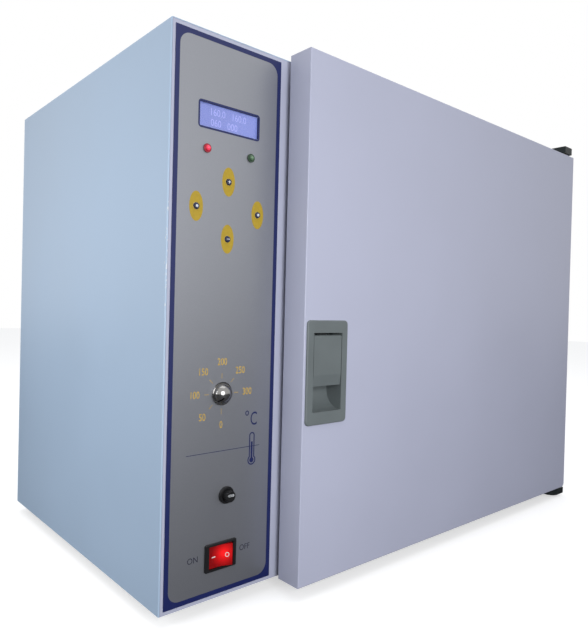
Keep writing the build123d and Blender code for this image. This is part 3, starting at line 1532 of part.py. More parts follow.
pieces = {
    "outer_shell": outer_shell,
    "base_pan": base_pan,
    "rear_panel": rear_panel,
    "front_frame": front_frame,
    "control_overlay": control_overlay,
    "compartment_wall": compartment_wall,
    "chamber_liner": chamber_liner,
    "liner_insulation": liner_insulation,
    "chamber_floor_plate": chamber_floor_plate,
    "heating_element": heating_element,
    **runners,
    **shelves,
    "vent_duct": vent_duct,
    "vent_flap": vent_flap,
    **sensors,
    "display_window": display_window,
    "display_module": display_module,
    **lamps,
    **buttons,
    "button_board": button_board,
    "thermostat_body": thermostat_body,
    "thermostat_dial": thermostat_dial,
    "fuse_holder": fuse_holder,
    "fuse_cap": fuse_cap,
    "fuse_cartridge": fuse_cartridge,
    "switch_housing": switch_housing,
    "switch_rocker": switch_rocker,
    "controller_board": controller_board,
    "power_relay": power_relay,
    "power_inlet": power_inlet,
    "rubber_feet": rubber_feet,
    "foot_screws": foot_screws,
    "upper_hinge_bracket": upper_hinge_bracket,
    "lower_hinge_bracket": lower_hinge_bracket,
    "upper_hinge_pin": upper_hinge_pin,
    "lower_hinge_pin": lower_hinge_pin,
    "hinge_screws": hinge_screws,
    **bushes,
    **blocks,
    "door_outer_panel": door_outer_panel,
    "door_inner_panel": door_inner_panel,
    "door_insulation": door_insulation,
    "door_gasket": door_gasket,
    "door_screws": door_screws,
    "rear_screws": rear_screws,
    "latch_housing": latch_housing,
    "latch_pin": latch_pin,
    "latch_flap": latch_flap,
    "latch_hook": latch_hook,
    "latch_spring": latch_spring,
    "latch_keeper": latch_keeper,
}

os.makedirs("parts", exist_ok=True)
for label, piece in pieces.items():
    piece.part.label = label
    export_step(piece.part, f"parts/{label}.step")
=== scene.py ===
import json
import math

import bmesh
import bpy
from mathutils import Matrix, Vector


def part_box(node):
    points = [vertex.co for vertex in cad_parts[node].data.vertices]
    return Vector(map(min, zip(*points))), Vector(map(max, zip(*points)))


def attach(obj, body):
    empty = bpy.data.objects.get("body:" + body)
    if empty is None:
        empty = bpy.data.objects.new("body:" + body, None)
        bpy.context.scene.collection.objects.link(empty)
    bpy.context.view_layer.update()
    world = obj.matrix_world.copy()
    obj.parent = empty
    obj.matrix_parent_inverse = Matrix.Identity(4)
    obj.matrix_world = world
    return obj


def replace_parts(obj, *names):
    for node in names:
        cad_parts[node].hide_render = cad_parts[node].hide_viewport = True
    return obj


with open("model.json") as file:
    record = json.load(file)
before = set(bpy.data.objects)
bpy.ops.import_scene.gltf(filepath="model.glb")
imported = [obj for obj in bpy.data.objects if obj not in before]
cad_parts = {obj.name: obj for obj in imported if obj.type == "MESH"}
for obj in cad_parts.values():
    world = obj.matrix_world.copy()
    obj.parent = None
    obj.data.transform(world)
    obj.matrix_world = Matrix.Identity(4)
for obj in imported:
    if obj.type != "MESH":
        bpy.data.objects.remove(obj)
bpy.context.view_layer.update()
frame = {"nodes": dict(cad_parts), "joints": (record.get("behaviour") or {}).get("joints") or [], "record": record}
NODES = frame["nodes"]
JOINTS = {joint["name"]: joint for joint in frame["joints"]}
MM = 0.001

# Where the camera stood, from the cabinet's front left bottom corner, and how it was turned
CAMERA_FROM_CORNER = Vector((-0.2343, -0.4232, 0.2489))
CAMERA_YAW = 0.7195
CAMERA_PITCH = -0.0121
CAMERA_ROLL = -0.0251
CAMERA_LENS = 33.70
CAMERA_NEAR = 0.01

# Places on the control panel: millimetres from the cabinet's left edge and from its bottom
DISPLAY = (58, 409.6)
DISPLAY_SIZE = (61, 20.7)
OVALS = {"up": (57.8, 357.2), "down": (57.8, 308.4), "left": (26.1, 332.8), "right": (89.5, 332.8)}
OVAL_RADII = (6.6, 12.4)
BUTTON_CLEARANCE = 2.9
BORDER = 4.2
BORDER_ROUND = 10
RIM_WIDTH = 1.3
RIM_ROUND = 3
DISPLAY_ROUND = 2
DIAL = (55.7, 176)
DIAL_NUMBERS = (0, 50, 100, 150, 200, 250, 300)
DIAL_STEP = 45
NUMBER_RADIUS = 27
NUMBER_SIZE = 8.6
NUMBER_WIDE = 0.78
TICK_RADII = (13, 17.5)
TICK_WIDTH = 0.35
THERMOMETER = (89.5, 127)
TUBE_UP = 9
TUBE_RADII = (3, 1.9)
BULB_DOWN = 13
BULB_RADII = (4.4, 3.3)
BULB_OPENINGS = (43, 35)
FLUID_RADIUS = 2.3
COLUMN_DOWN = 4
COLUMN_SIZE = (1.9, 15)
DEGREE_RING = (83.5, 156.5)
DEGREE_RING_OUTER = (2.0, 2.3)
DEGREE_RING_INNER = (1.1, 1.4)
DEGREE_LETTER = (91, 150.5)
DEGREE_LETTER_SIZE = 17
UNDERLINE = (60, 126.5, 76, 0.5)
ON_WORD = (30.5, 38)
OFF_WORD = (84, 37)
SWITCH_WORD_SIZE = 7.2

# Thickness of the printing, in millimetres
INK = 0.05

# Chips in the paint: millimetres from the cabinet's front left edge, and heights over its bottom
CHIP_REACH = (2.2, 3.0)
CHIP_HEIGHTS = (250, 335)
CHIP_LEVEL = 0.59

# Colours, as linear values
CABINET_BLUE = (0.36, 0.465, 0.60)
DOOR_LAVENDER = (0.43, 0.445, 0.56)
NAVY = (0.004, 0.010, 0.085)
PANEL_SILVER = (0.30, 0.31, 0.34)
OVAL_YELLOW = (0.40, 0.27, 0.012)
NUMBER_YELLOW = (0.56, 0.36, 0.05)
LATCH_GREY = (0.125, 0.145, 0.148)
STEEL = (0.56, 0.57, 0.58)
GALVANISED = (0.42, 0.44, 0.45)
CHROME = (0.74, 0.75, 0.77)
# The dial's chrome is darker than CHROME: painted shade that stands in for the dark surroundings it reflects
DIAL_CHROME_PAINTED_DARK = (0.30, 0.295, 0.29)
BLACK_PLASTIC = (0.012, 0.012, 0.013)
HINGE_BLACK = (0.012, 0.016, 0.017)
SCREW_STEEL = (0.50, 0.50, 0.49)
BRONZE = (0.44, 0.27, 0.10)
HEATER_BROWN = (0.10, 0.092, 0.085)
WOOL_YELLOW = (0.50, 0.44, 0.27)
SILICONE_RED = (0.33, 0.045, 0.025)
RUBBER_BLACK = (0.020, 0.020, 0.020)
BUTTON_NAVY = (0.018, 0.022, 0.060)
BOARD_GREEN = (0.01, 0.085, 0.03)
GLASS_TINT = (0.93, 0.95, 1.0)
CHIP_PRIMER = (0.55, 0.58, 0.62)
PALE_PRINT = (0.62, 0.64, 0.66)
SWITCH_PRINT = (0.02, 0.02, 0.045)
ROCKER_PRINT = (0.75, 0.62, 0.60)
DISPLAY_BASE = (0.10, 0.12, 0.30)
DISPLAY_LEFT = (0.20, 0.24, 0.58)
DISPLAY_RIGHT = (0.25, 0.31, 0.74)
DIGIT_BASE = (0.25, 0.25, 0.45)
DIGIT_GLOW = (0.32, 0.35, 0.74)

# Glowing lenses: colour at the bright spot, colour at the rim, millimetres between the two, strength. The red lamp
# and the rocker are lit; the green lamp is unlit, and its glow is a painted highlight
GLOWS = {
    "lamp_red": ((0.95, 0.05, 0.10), (0.10, 0.004, 0.008), 5.2, 1.3),
    # The green lamp is unlit: this glow is a painted highlight on its lens
    "lamp_green": ((0.12, 0.22, 0.12), (0.010, 0.030, 0.016), 4.8, 0.25),
    "rocker_red": ((0.90, 0.010, 0.012), (0.24, 0.001, 0.002), 12, 0.5),
}
ROCKER_GLOW_SPOT = (2.4, -5.5, 1.6)

# Lamps: place, point that they face, edge length in metres, power in watts, colour
LAMPS = {
    "key": ((-0.45, -0.95, 0.33), (-0.05, -0.2, 0.22), 0.4, 5.2, (0.97, 0.98, 1.0)),
    "side": ((-0.87, -0.02, 0.30), (-0.32, -0.02, 0.28), 0.35, 2.1, (0.96, 0.98, 1.0)),
    "top": ((0.1, 0.1, 2.2), (0, 0, 0), 2.4, 20, (1, 1, 1)),
}
STUDIO_LIGHT = (0.95, 0.97, 1.0)
STUDIO_STRENGTH = 0.62
FLOOR_HALF = 6.0
FLOOR_MIRRORED = (0.10, 0.10, 0.105)
FLOOR_GLOW = 1.4
FLOOR_SHADOW_SHARE = 0.6

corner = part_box("outer_shell")[0]
panel_face_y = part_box("control_overlay")[0].y


def panel(x, z, lift=0.0):
    """A point on the control panel's face, in metres, with lift millimetres in front of it."""
    return Vector((corner.x + x * MM, panel_face_y - lift * MM, corner.z + z * MM))


def upright(place):
    """Takes a flat drawing in millimetres to a front-facing one at a place in the world."""
    return Matrix.Translation(place) @ Matrix.Rotation(math.pi / 2, 4, "X") @ Matrix.Scale(MM, 4)


def front_centre(node):
    """The middle of the front face of a node's box."""
    low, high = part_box(node)
    return Vector(((low.x + high.x) / 2, low.y, (low.z + high.z) / 2))


def panel_matrix(lift=0.0):
    """Takes millimetres on the panel, x right and y up, to the world."""
    return upright(panel(0, 0, lift))


# Camera
def make_camera():
    """The photograph's view: a lens from the cabinet's corner, turned by yaw, pitch and roll."""
    forward = Vector((
        math.sin(CAMERA_YAW) * math.cos(CAMERA_PITCH),
        math.cos(CAMERA_YAW) * math.cos(CAMERA_PITCH),
        math.sin(CAMERA_PITCH),
    ))
    level = Vector((math.cos(CAMERA_YAW), -math.sin(CAMERA_YAW), 0))
    down = forward.cross(level)
    across = math.cos(CAMERA_ROLL) * level + math.sin(CAMERA_ROLL) * down
    up = math.sin(CAMERA_ROLL) * level - math.cos(CAMERA_ROLL) * down
    data = bpy.data.cameras.new("camera")
    data.lens = CAMERA_LENS
    data.clip_start = CAMERA_NEAR
    camera = bpy.data.objects.new("camera", data)
    turn = Matrix((across, up, -forward)).transposed().to_4x4()
    camera.matrix_world = Matrix.Translation(corner + CAMERA_FROM_CORNER) @ turn
    bpy.context.scene.collection.objects.link(camera)
    bpy.context.scene.camera = camera


make_camera()


# Shader helpers
class Shader:
    """A material with one principled shader, and short calls for the nodes that feed it."""

    # Sockets of the mix node that carry colours
    MIX_FIRST, MIX_SECOND, MIX_RESULT = 6, 7, 2

    def __init__(self, name):
        self.material = bpy.data.materials.new(name)
        self.material.use_nodes = True
        self.tree = self.material.node_tree
        self.tree.nodes.clear()
        self.output = self.node("ShaderNodeOutputMaterial")
        self.main = self.node("ShaderNodeBsdfPrincipled")
        self.link(self.main.outputs["BSDF"], self.output.inputs["Surface"])
        self.coords = self.node("ShaderNodeTexCoord").outputs["Object"]

    def node(self, kind, **settings):
        made = self.tree.nodes.new(kind)
        for key, value in settings.items():
            setattr(made, key, value)
        return made

    def link(self, source, target):
        self.tree.links.new(source, target)

    def set(self, **values):
        for key, value in values.items():
            socket = self.main.inputs[key.replace("_", " ")]
            socket.default_value = (*value, 1) if isinstance(value, tuple) and len(value) == 3 else value

    def noise(self, scale, detail=3.0, stretch=(1, 1, 1), rough=0.5):
        mapping = self.node("ShaderNodeMapping")
        mapping.inputs["Scale"].default_value = stretch
        self.link(self.coords, mapping.inputs["Vector"])
        made = self.node("ShaderNodeTexNoise")
        made.inputs["Scale"].default_value = scale
        made.inputs["Detail"].default_value = detail
        made.inputs["Roughness"].default_value = rough
        self.link(mapping.outputs["Vector"], made.inputs["Vector"])
        return made.outputs["Fac"]

    def math(self, operation, first, second, clamp=False):
        made = self.node("ShaderNodeMath", operation=operation, use_clamp=clamp)
        for socket, value in zip(made.inputs, (first, second)):
            if isinstance(value, (int, float)):
                socket.default_value = value
            else:
                self.link(value, socket)
        return made.outputs[0]

    def spread(self, source, low, high, from_low=0.3, from_high=0.7):
        made = self.node("ShaderNodeMapRange")
        ends = {"From Min": from_low, "From Max": from_high, "To Min": low, "To Max": high}
        for key, value in ends.items():
            made.inputs[key].default_value = value
        self.link(source, made.inputs["Value"])
        return made.outputs["Result"]

    def mix(self, factor, first, second):
        made = self.node("ShaderNodeMix", data_type="RGBA")
        self.link(factor, made.inputs["Factor"])
        for index, value in ((self.MIX_FIRST, first), (self.MIX_SECOND, second)):
            socket = made.inputs[index]
            if isinstance(value, tuple):
                socket.default_value = (*value, 1)
            else:
                self.link(value, socket)
        return made.outputs[self.MIX_RESULT]

    def axes(self):
        made = self.node("ShaderNodeSeparateXYZ")
        self.link(self.coords, made.inputs[0])
        return made.outputs

    def distance(self, centre):
        """Distance from a point, in metres."""
        made = self.node("ShaderNodeVectorMath", operation="DISTANCE")
        self.link(self.coords, made.inputs[0])
        made.inputs[1].default_value = centre
        return made.outputs["Value"]

    def bump(self, height, strength, distance):
        made = self.node("ShaderNodeBump")
        made.inputs["Strength"].default_value = strength
        made.inputs["Distance"].default_value = distance
        self.link(height, made.inputs["Height"])
        self.link(made.outputs["Normal"], self.main.inputs["Normal"])


def scaled(color, factor):
    return tuple(min(1.0, channel * factor) for channel in color)


def finish_material(name, color, vary=0.05, patch=12, rough=0.4, rough_vary=0.05, grain=900, bump=0.05,
                    depth=0.00005, stretch=(1, 1, 1), detail=3.0, **sockets):
    """A surface whose colour and roughness drift over patches, with a fine grain in relief."""
    made = Shader(name)
    drift = made.noise(patch, detail, stretch)
    made.link(made.mix(made.spread(drift, 0, 1), scaled(color, 1 - vary), scaled(color, 1 + vary)),
              made.main.inputs["Base Color"])
    made.link(made.spread(drift, rough - rough_vary, rough + rough_vary), made.main.inputs["Roughness"])
    made.bump(made.noise(grain, 2.0, stretch), bump, depth)
    made.set(**sockets)
    return made


def paint_material(name, color, **extra):
    """Powder coat: a slight orange peel under a soft gloss."""
    return finish_material(name, color, vary=0.022, patch=7, rough=0.40, rough_vary=0.03, grain=620,
                           bump=0.10, depth=0.0001, **extra)


def cabinet_paint():
    """The cabinet's paint, with small chips along a part of the front left edge."""
    made = paint_material("cabinet_paint", CABINET_BLUE)
    x, y, z = made.axes()
    near_side = made.math("LESS_THAN", x, corner.x + CHIP_REACH[0] * MM)
    near_front = made.math("LESS_THAN", y, corner.y + CHIP_REACH[1] * MM)
    over = made.math("GREATER_THAN", z, corner.z + CHIP_HEIGHTS[0] * MM)
    under = made.math("LESS_THAN", z, corner.z + CHIP_HEIGHTS[1] * MM)
    edge = made.math("MULTIPLY", near_side, near_front)
    worn_edge = made.math("MULTIPLY", edge, made.math("MULTIPLY", over, under))
    spots = made.noise(420, detail=4.0, stretch=(1, 1, 0.45), rough=0.7)
    chips = made.math("MULTIPLY", worn_edge, made.math("GREATER_THAN", spots, CHIP_LEVEL))
    base = made.main.inputs["Base Color"]
    painted = base.links[0].from_socket
    made.link(made.mix(chips, painted, CHIP_PRIMER), base)
    return made.material


def silver_material():
    """The panel's face: a fine metallic lacquer."""
    return finish_material("overlay_plate", PANEL_SILVER, vary=0.05, patch=2600, rough=0.42,
                           rough_vary=0.05, grain=2600, bump=0.05, depth=0.00002, Metallic=0.85).material


def brushed_material(name, color, stretch, rough):
    """Bare metal with fine lines along one axis."""
    return finish_material(name, color, vary=0.07, patch=60, rough=rough, rough_vary=0.07, grain=160,
                           bump=0.12, depth=0.00004, stretch=stretch, Metallic=1.0).material


def plastic_material(name, color, rough=0.5, grain=1500, bump=0.10, **sockets):
    """Moulded plastic with a fine grain."""
    return finish_material(name, color, vary=0.06, patch=30, rough=rough, grain=grain, bump=bump,
                           depth=0.00004, **sockets).material


def glowing_material(name, color, dark, centre, reach, strength):
    """A glowing lens: brightest at its centre, and darker towards its rim. On a lit lens this is its light; on an
    unlit lens it is a painted highlight.
    """
    made = Shader(name)
    near = made.spread(made.distance(centre), 1, 0, 0.0, reach)
    cloud = made.noise(700, 2.0)
    made.link(made.mix(near, dark, color), made.main.inputs["Base Color"])
    made.link(made.mix(near, scaled(dark, 0.6), color), made.main.inputs["Emission Color"])
    made.link(made.math("MULTIPLY", made.math("POWER", near, 2.0), strength),
              made.main.inputs["Emission Strength"])
    made.link(made.spread(cloud, 0.12, 0.22), made.main.inputs["Roughness"])
    return made.material


def display_material():
    """The lit display: periwinkle, a little brighter at its right end."""
    made = Shader("display_lit")
    left = panel(DISPLAY[0] - DISPLAY_SIZE[0] / 2, 0).x
    right = panel(DISPLAY[0] + DISPLAY_SIZE[0] / 2, 0).x
    along = made.spread(made.axes()[0], 0, 1, left, right)
    cloud = made.spread(made.noise(140, 2.0), -0.12, 0.12)
    tone = made.math("ADD", along, cloud, clamp=True)
    made.link(made.mix(tone, DISPLAY_LEFT, DISPLAY_RIGHT), made.main.inputs["Emission Color"])
    made.set(Base_Color=DISPLAY_BASE, Emission_Strength=0.58, Roughness=0.5)
    return made.material


def glass_material(name):
    """Clear glass with faint smears."""
    made = Shader(name)
    made.link(made.spread(made.noise(60, 2.0), 0.01, 0.05), made.main.inputs["Roughness"])
    made.set(Base_Color=GLASS_TINT, Transmission_Weight=1.0, IOR=1.45)
    return made.material


def ink_material(name, color):
    """Screen print."""
    return finish_material(name, color, vary=0.06, patch=400, rough=0.45, grain=2200, bump=0.04,
                           depth=0.00001).material


# Stretch of a pattern that runs in lines along an axis
ALONG_X = (0.02, 1, 1)
ALONG_Z = (1, 1, 0.02)

MATERIALS = {
    "cabinet_paint": cabinet_paint(),
    "door_paint": paint_material("door_paint", DOOR_LAVENDER).material,
    "overlay_plate": silver_material(),
    "galvanised": finish_material("galvanised", GALVANISED, vary=0.16, patch=90, rough=0.48, grain=400,
                                  bump=0.06, detail=5.0, Metallic=0.9).material,
    "stainless": brushed_material("stainless", STEEL, ALONG_X, rough=0.34),
    "shelf_wire": brushed_material("shelf_wire", CHROME, ALONG_X, rough=0.16),
    "heater_sheath": finish_material("heater_sheath", HEATER_BROWN, vary=0.25, patch=35, rough=0.55,
                                     grain=700, bump=0.15, detail=5.0, Metallic=0.8).material,
    "sensor_sheath": brushed_material("sensor_sheath", STEEL, ALONG_Z, rough=0.25),
    "mineral_wool": finish_material("mineral_wool", WOOL_YELLOW, vary=0.25, patch=220, rough=0.95,
                                    rough_vary=0.03, grain=500, bump=0.8, depth=0.0006).material,
    "silicone": finish_material("silicone", SILICONE_RED, vary=0.08, patch=40, rough=0.5, grain=900,
                                bump=0.08).material,
    "screws": brushed_material("screws", SCREW_STEEL, ALONG_X, rough=0.30),
    "black_iron": finish_material("black_iron", HINGE_BLACK, vary=0.2, patch=60, rough=0.42, grain=800,
                                  bump=0.14, depth=0.0001, Specular_IOR_Level=0.22).material,
    "bright_steel": brushed_material("bright_steel", STEEL, ALONG_Z, rough=0.28),
    "bush_bronze": brushed_material("bush_bronze", BRONZE, ALONG_X, rough=0.35),
    "latch_plastic": plastic_material("latch_plastic", LATCH_GREY, rough=0.46),
    "foot_rubber": plastic_material("foot_rubber", RUBBER_BLACK, rough=0.75, grain=700, bump=0.3),
    "display_glass": glass_material("display_glass"),
    "display_lit": display_material(),
    "button_caps": plastic_material("button_caps", BUTTON_NAVY, rough=0.35),
    "circuit_board": plastic_material("circuit_board", BOARD_GREEN, rough=0.35),
    "thermostat_case": brushed_material("thermostat_case", STEEL, ALONG_X, rough=0.3),
    # Darker chrome on the dial: a painted dark reflection
    "dial_chrome": brushed_material("dial_chrome", DIAL_CHROME_PAINTED_DARK, ALONG_X, rough=0.17),
    "black_plastic": plastic_material("black_plastic", BLACK_PLASTIC, rough=0.33,
                                      Specular_IOR_Level=0.22),
    "fuse_glass": glass_material("fuse_glass"),
}

rocker_pivot = Vector(JOINTS["power_rocker"]["pos_m"])
bright_spots = {
    "lamp_red": front_centre("red_lamp"),
    "lamp_green": front_centre("green_lamp"),
    "rocker_red": rocker_pivot + Vector(ROCKER_GLOW_SPOT) * MM,
}
for slot, (color, dark, reach, strength) in GLOWS.items():
    MATERIALS[slot] = glowing_material(slot, color, dark, bright_spots[slot], reach * MM, strength)

for entry in frame["record"]["subparts"]:
    node = NODES[entry["node"]]
    node.data.materials.clear()
    node.data.materials.append(MATERIALS[entry["material_slot"]])


# Piece helpers
def add_piece(name, mesh, body, material, smooth=False):
    """A visible piece that rides on a body."""
    made = bpy.data.objects.new(name, mesh)
    bpy.context.scene.collection.objects.link(made)
    mesh.materials.clear()
    mesh.materials.append(material)
    for face in mesh.polygons:
        face.use_smooth = smooth
    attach(made, body)
    return made


def curve_mesh(data):
    """The mesh of a filled curve or of a text, and the curve is then deleted."""
    holder = bpy.data.objects.new("holder", data)
    bpy.context.scene.collection.objects.link(holder)
    bpy.context.view_layer.update()
    mesh = bpy.data.meshes.new_from_object(holder.evaluated_get(bpy.context.evaluated_depsgraph_get()))
    bpy.data.objects.remove(holder)
    bpy.data.curves.remove(data)
    return mesh


def flat_mesh(loops, thickness):
    """A plate with the outline of the first loop and holes of the others, in millimetres."""
    data = bpy.data.curves.new("outline", "CURVE")
    data.dimensions = "2D"
    data.fill_mode = "BOTH"
    data.extrude = thickness / 2
    for loop in loops:
        spline = data.splines.new("POLY")
        spline.points.add(len(loop) - 1)
        for point, (x, y) in zip(spline.points, loop):
            point.co = (x, y, 0, 1)
        spline.use_cyclic_u = True
    return curve_mesh(data)


def word_mesh(word, size, wide):
    """Raised characters about the origin, in millimetres. wide is their share of the font's width."""
    data = bpy.data.curves.new("word", "FONT")
    data.body = word
    data.size = size
    data.align_x = "CENTER"
    data.align_y = "CENTER"
    data.extrude = INK / 2
    data.resolution_u = 4
    mesh = curve_mesh(data)
    mesh.transform(Matrix.Diagonal((wide, 1, 1, 1)))
    return mesh


def joined(meshes):
    """One mesh from several, with the others deleted."""
    bm = bmesh.new()
    for mesh in meshes:
        bm.from_mesh(mesh)
        bpy.data.meshes.remove(mesh)
    made = bpy.data.meshes.new("joined")
    bm.to_mesh(made)
    bm.free()
    return made


def moved(mesh, x, y, turn=0.0):
    """The mesh, turned about the origin and then moved in its plane."""
    mesh.transform(Matrix.Translation((x, y, 0)) @ Matrix.Rotation(turn, 4, "Z"))
    return mesh


def arc(cx, cy, rx, ry, start, end, steps):
    """Points on an ellipse from one angle to another, in degrees."""
    return [
        (cx + rx * math.cos(math.radians(start + (end - start) * step / steps)),
         cy + ry * math.sin(math.radians(start + (end - start) * step / steps)))
        for step in range(steps + 1)
    ]


def ring(cx, cy, rx, ry, steps=48):
    """Points on a full ellipse."""
    return arc(cx, cy, rx, ry, 0, 360, steps)[:-1]


def rounded(cx, cy, width, height, radius, steps=8):
    """Points on a rectangle with round corners."""
    half_w, half_h = width / 2 - radius, height / 2 - radius
    points = []
    for start, sx, sy in ((0, 1, 1), (90, -1, 1), (180, -1, -1), (270, 1, -1)):
        points += arc(cx + sx * half_w, cy + sy * half_h, radius, radius, start, start + 90, steps)
    return points


def rectangle(cx, cy, width, height):
    """Corners of a rectangle about its middle."""
    return [(cx + sx * width / 2, cy + sy * height / 2) for sx, sy in ((1, 1), (-1, 1), (-1, -1), (1, -1))]


def print_on_panel(name, meshes, material, lift=INK / 2):
    """One piece from flat meshes drawn in the panel's millimetres."""
    mesh = joined(meshes)
    mesh.transform(panel_matrix(lift))
    return add_piece(name, mesh, "cabinet", material)


def turned_mesh(profile, centre, steps=40):
    """A round mesh on a front-to-back axis: profile points are (radius, forward), in millimetres."""
    bm = bmesh.new()
    rings = []
    for radius, forward in profile:
        y = centre.y - forward * MM
        if radius == 0:
            rings.append([bm.verts.new((centre.x, y, centre.z))])
            continue
        angles = [2 * math.pi * step / steps for step in range(steps)]
        rings.append([
            bm.verts.new((centre.x + radius * MM * math.cos(a), y, centre.z + radius * MM * math.sin(a)))
            for a in angles
        ])
    for near, far in zip(rings, rings[1:]):
        for step in range(steps):
            after = (step + 1) % steps
            corners = (
                near[step % len(near)], near[after % len(near)],
                far[after % len(far)], far[step % len(far)],
            )
            unique = list(dict.fromkeys(corners))
            if len(unique) > 2:
                bm.faces.new(unique)
    bmesh.ops.recalc_face_normals(bm, faces=bm.faces)
    mesh = bpy.data.meshes.new("turned")
    bm.to_mesh(mesh)
    bm.free()
    return mesh


# Printing on the control panel
navy_ink = ink_material("navy_ink", NAVY)
yellow_ink = ink_material("yellow_ink", OVAL_YELLOW)
number_ink = ink_material("number_ink", NUMBER_YELLOW)
pale_ink = ink_material("pale_ink", PALE_PRINT)
switch_ink = ink_material("switch_ink", SWITCH_PRINT)
rocker_ink = ink_material("mark_ink", ROCKER_PRINT)

overlay_low, overlay_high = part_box("control_overlay")
plate_width = (overlay_high.x - overlay_low.x) / MM
plate_height = (overlay_high.z - overlay_low.z) / MM
plate_x = (overlay_low.x - corner.x) / MM + plate_width / 2
plate_z = (overlay_low.z - corner.z) / MM + plate_height / 2
print_on_panel("panel_border", [flat_mesh([
    rectangle(plate_x, plate_z, plate_width, plate_height),
    rounded(plate_x, plate_z, plate_width - 2 * BORDER, plate_height - 2 * BORDER, BORDER_ROUND),
], INK)], navy_ink)
print_on_panel("display_rim", [flat_mesh([
    rounded(*DISPLAY, DISPLAY_SIZE[0] + 2 * RIM_WIDTH, DISPLAY_SIZE[1] + 2 * RIM_WIDTH, RIM_ROUND),
    rounded(*DISPLAY, *DISPLAY_SIZE, DISPLAY_ROUND),
], INK)], navy_ink)
print_on_panel("button_ovals", [
    flat_mesh([ring(x, z, *OVAL_RADII), ring(x, z, BUTTON_CLEARANCE, BUTTON_CLEARANCE)], INK)
    for x, z in OVALS.values()
], yellow_ink)

# Dial scale: numbers and ticks, clockwise from the bottom
scale_meshes = []
tick_middle = sum(TICK_RADII) / 2
for step, number in enumerate(DIAL_NUMBERS):
    angle = math.radians(-90 - DIAL_STEP * step)
    across, up = math.cos(angle), math.sin(angle)
    word = word_mesh(str(number), NUMBER_SIZE, wide=NUMBER_WIDE)
    tick = flat_mesh([rectangle(0, 0, TICK_RADII[1] - TICK_RADII[0], TICK_WIDTH)], INK)
    scale_meshes.append(moved(word, DIAL[0] + across * NUMBER_RADIUS, DIAL[1] + up * NUMBER_RADIUS))
    scale_meshes.append(moved(tick, DIAL[0] + across * tick_middle, DIAL[1] + up * tick_middle, angle))
print_on_panel("dial_scale", scale_meshes, number_ink)

# Temperature sign: a thermometer with a scale unit over it, on a thin line
tube_x, tube_middle = THERMOMETER
bulb = (tube_x, tube_middle - BULB_DOWN)


def thermometer_outline(tube_radius, bulb_radius, opening):
    """The tube's round end and the bulb, which opens to the tube over a part of its turn, in degrees."""
    top = arc(tube_x, tube_middle + TUBE_UP, tube_radius, tube_radius, 0, 180, 12)
    return top + arc(*bulb, bulb_radius, bulb_radius, 90 + opening, 450 - opening, 24)


print_on_panel("temperature_sign", [
    moved(word_mesh("C", DEGREE_LETTER_SIZE, wide=0.68), *DEGREE_LETTER),
    flat_mesh([ring(*DEGREE_RING, *DEGREE_RING_OUTER), ring(*DEGREE_RING, *DEGREE_RING_INNER)], INK),
    flat_mesh([thermometer_outline(*sizes) for sizes in zip(TUBE_RADII, BULB_RADII, BULB_OPENINGS)], INK),
    flat_mesh([ring(*bulb, FLUID_RADIUS, FLUID_RADIUS)], INK),
    flat_mesh([rectangle(tube_x, tube_middle - COLUMN_DOWN, *COLUMN_SIZE)], INK),
    flat_mesh([rectangle(*UNDERLINE)], INK),
], navy_ink)
print_on_panel("switch_words", [
    moved(word_mesh("ON", SWITCH_WORD_SIZE, wide=0.95), *ON_WORD),
    moved(word_mesh("OFF", SWITCH_WORD_SIZE, wide=0.9), *OFF_WORD),
], switch_ink)


# Display: the glass in its rim, and the characters that it shows
glass_low, glass_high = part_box("display_window")
GLASS_THICKNESS = 1.6
GLASS_BEVEL = 0.3
glass_size = Vector((glass_high.x - glass_low.x, GLASS_THICKNESS * MM, glass_high.z - glass_low.z))
glass_middle = front_centre("display_window") + Vector((0, glass_size.y / 2, 0))
glass_place = Matrix.Translation(glass_middle) @ Matrix.Diagonal((*glass_size, 1))
glass_mesh = bpy.data.meshes.new("glass")
bm = bmesh.new()
bmesh.ops.create_cube(bm, size=1)
bmesh.ops.transform(bm, verts=bm.verts, matrix=glass_place)
bmesh.ops.bevel(bm, geom=bm.edges[:], offset=GLASS_BEVEL * MM, segments=2, affect="EDGES")
bm.to_mesh(glass_mesh)
bm.free()
glass = add_piece("display_glass", glass_mesh, "cabinet", MATERIALS["display_glass"])
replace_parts(glass, "display_window")

# Painted shade on the walls of the display's opening: a thin navy ring that stands in for the shadow there, from a
# gap at its edge to a reach inwards
SHADE_RING_GAP = 0.02
SHADE_RING_REACH = 0.35
opening_depth = (glass_low.y - panel_face_y) / MM
# This navy ring is painted shade in the display's opening
print_on_panel("display_painted_shade_ring", [flat_mesh([
    rounded(*DISPLAY, *(size - 2 * SHADE_RING_GAP for size in DISPLAY_SIZE), 0.6),
    rounded(*DISPLAY, *(size - 2 * SHADE_RING_REACH for size in DISPLAY_SIZE), 0.4),
], opening_depth - 0.1)], navy_ink, -opening_depth / 2)

# Rows of characters: text, and millimetres from the display's middle
DISPLAY_ROWS = (("160.0   160.0", 0, 4.2), ("060   000", -4, -4.6))
DIGIT_SIZE = 8.4
DIGIT_WIDE = 0.86
DIGIT_LIFT = 0.15
digits = joined([
    moved(word_mesh(word, DIGIT_SIZE, wide=DIGIT_WIDE), DISPLAY[0] + across, DISPLAY[1] + up)
    for word, across, up in DISPLAY_ROWS
])
digits.transform(panel_matrix(DIGIT_LIFT - (glass_high.y - panel_face_y) / MM))
digit_shader = Shader("display_digits")
flicker = digit_shader.spread(digit_shader.noise(300), 0.5, 0.62)
digit_shader.link(flicker, digit_shader.main.inputs["Emission Strength"])
digit_shader.set(Base_Color=DIGIT_BASE, Emission_Color=DIGIT_GLOW, Roughness=0.5)
add_piece("display_digits", digits, "cabinet", digit_shader.material)
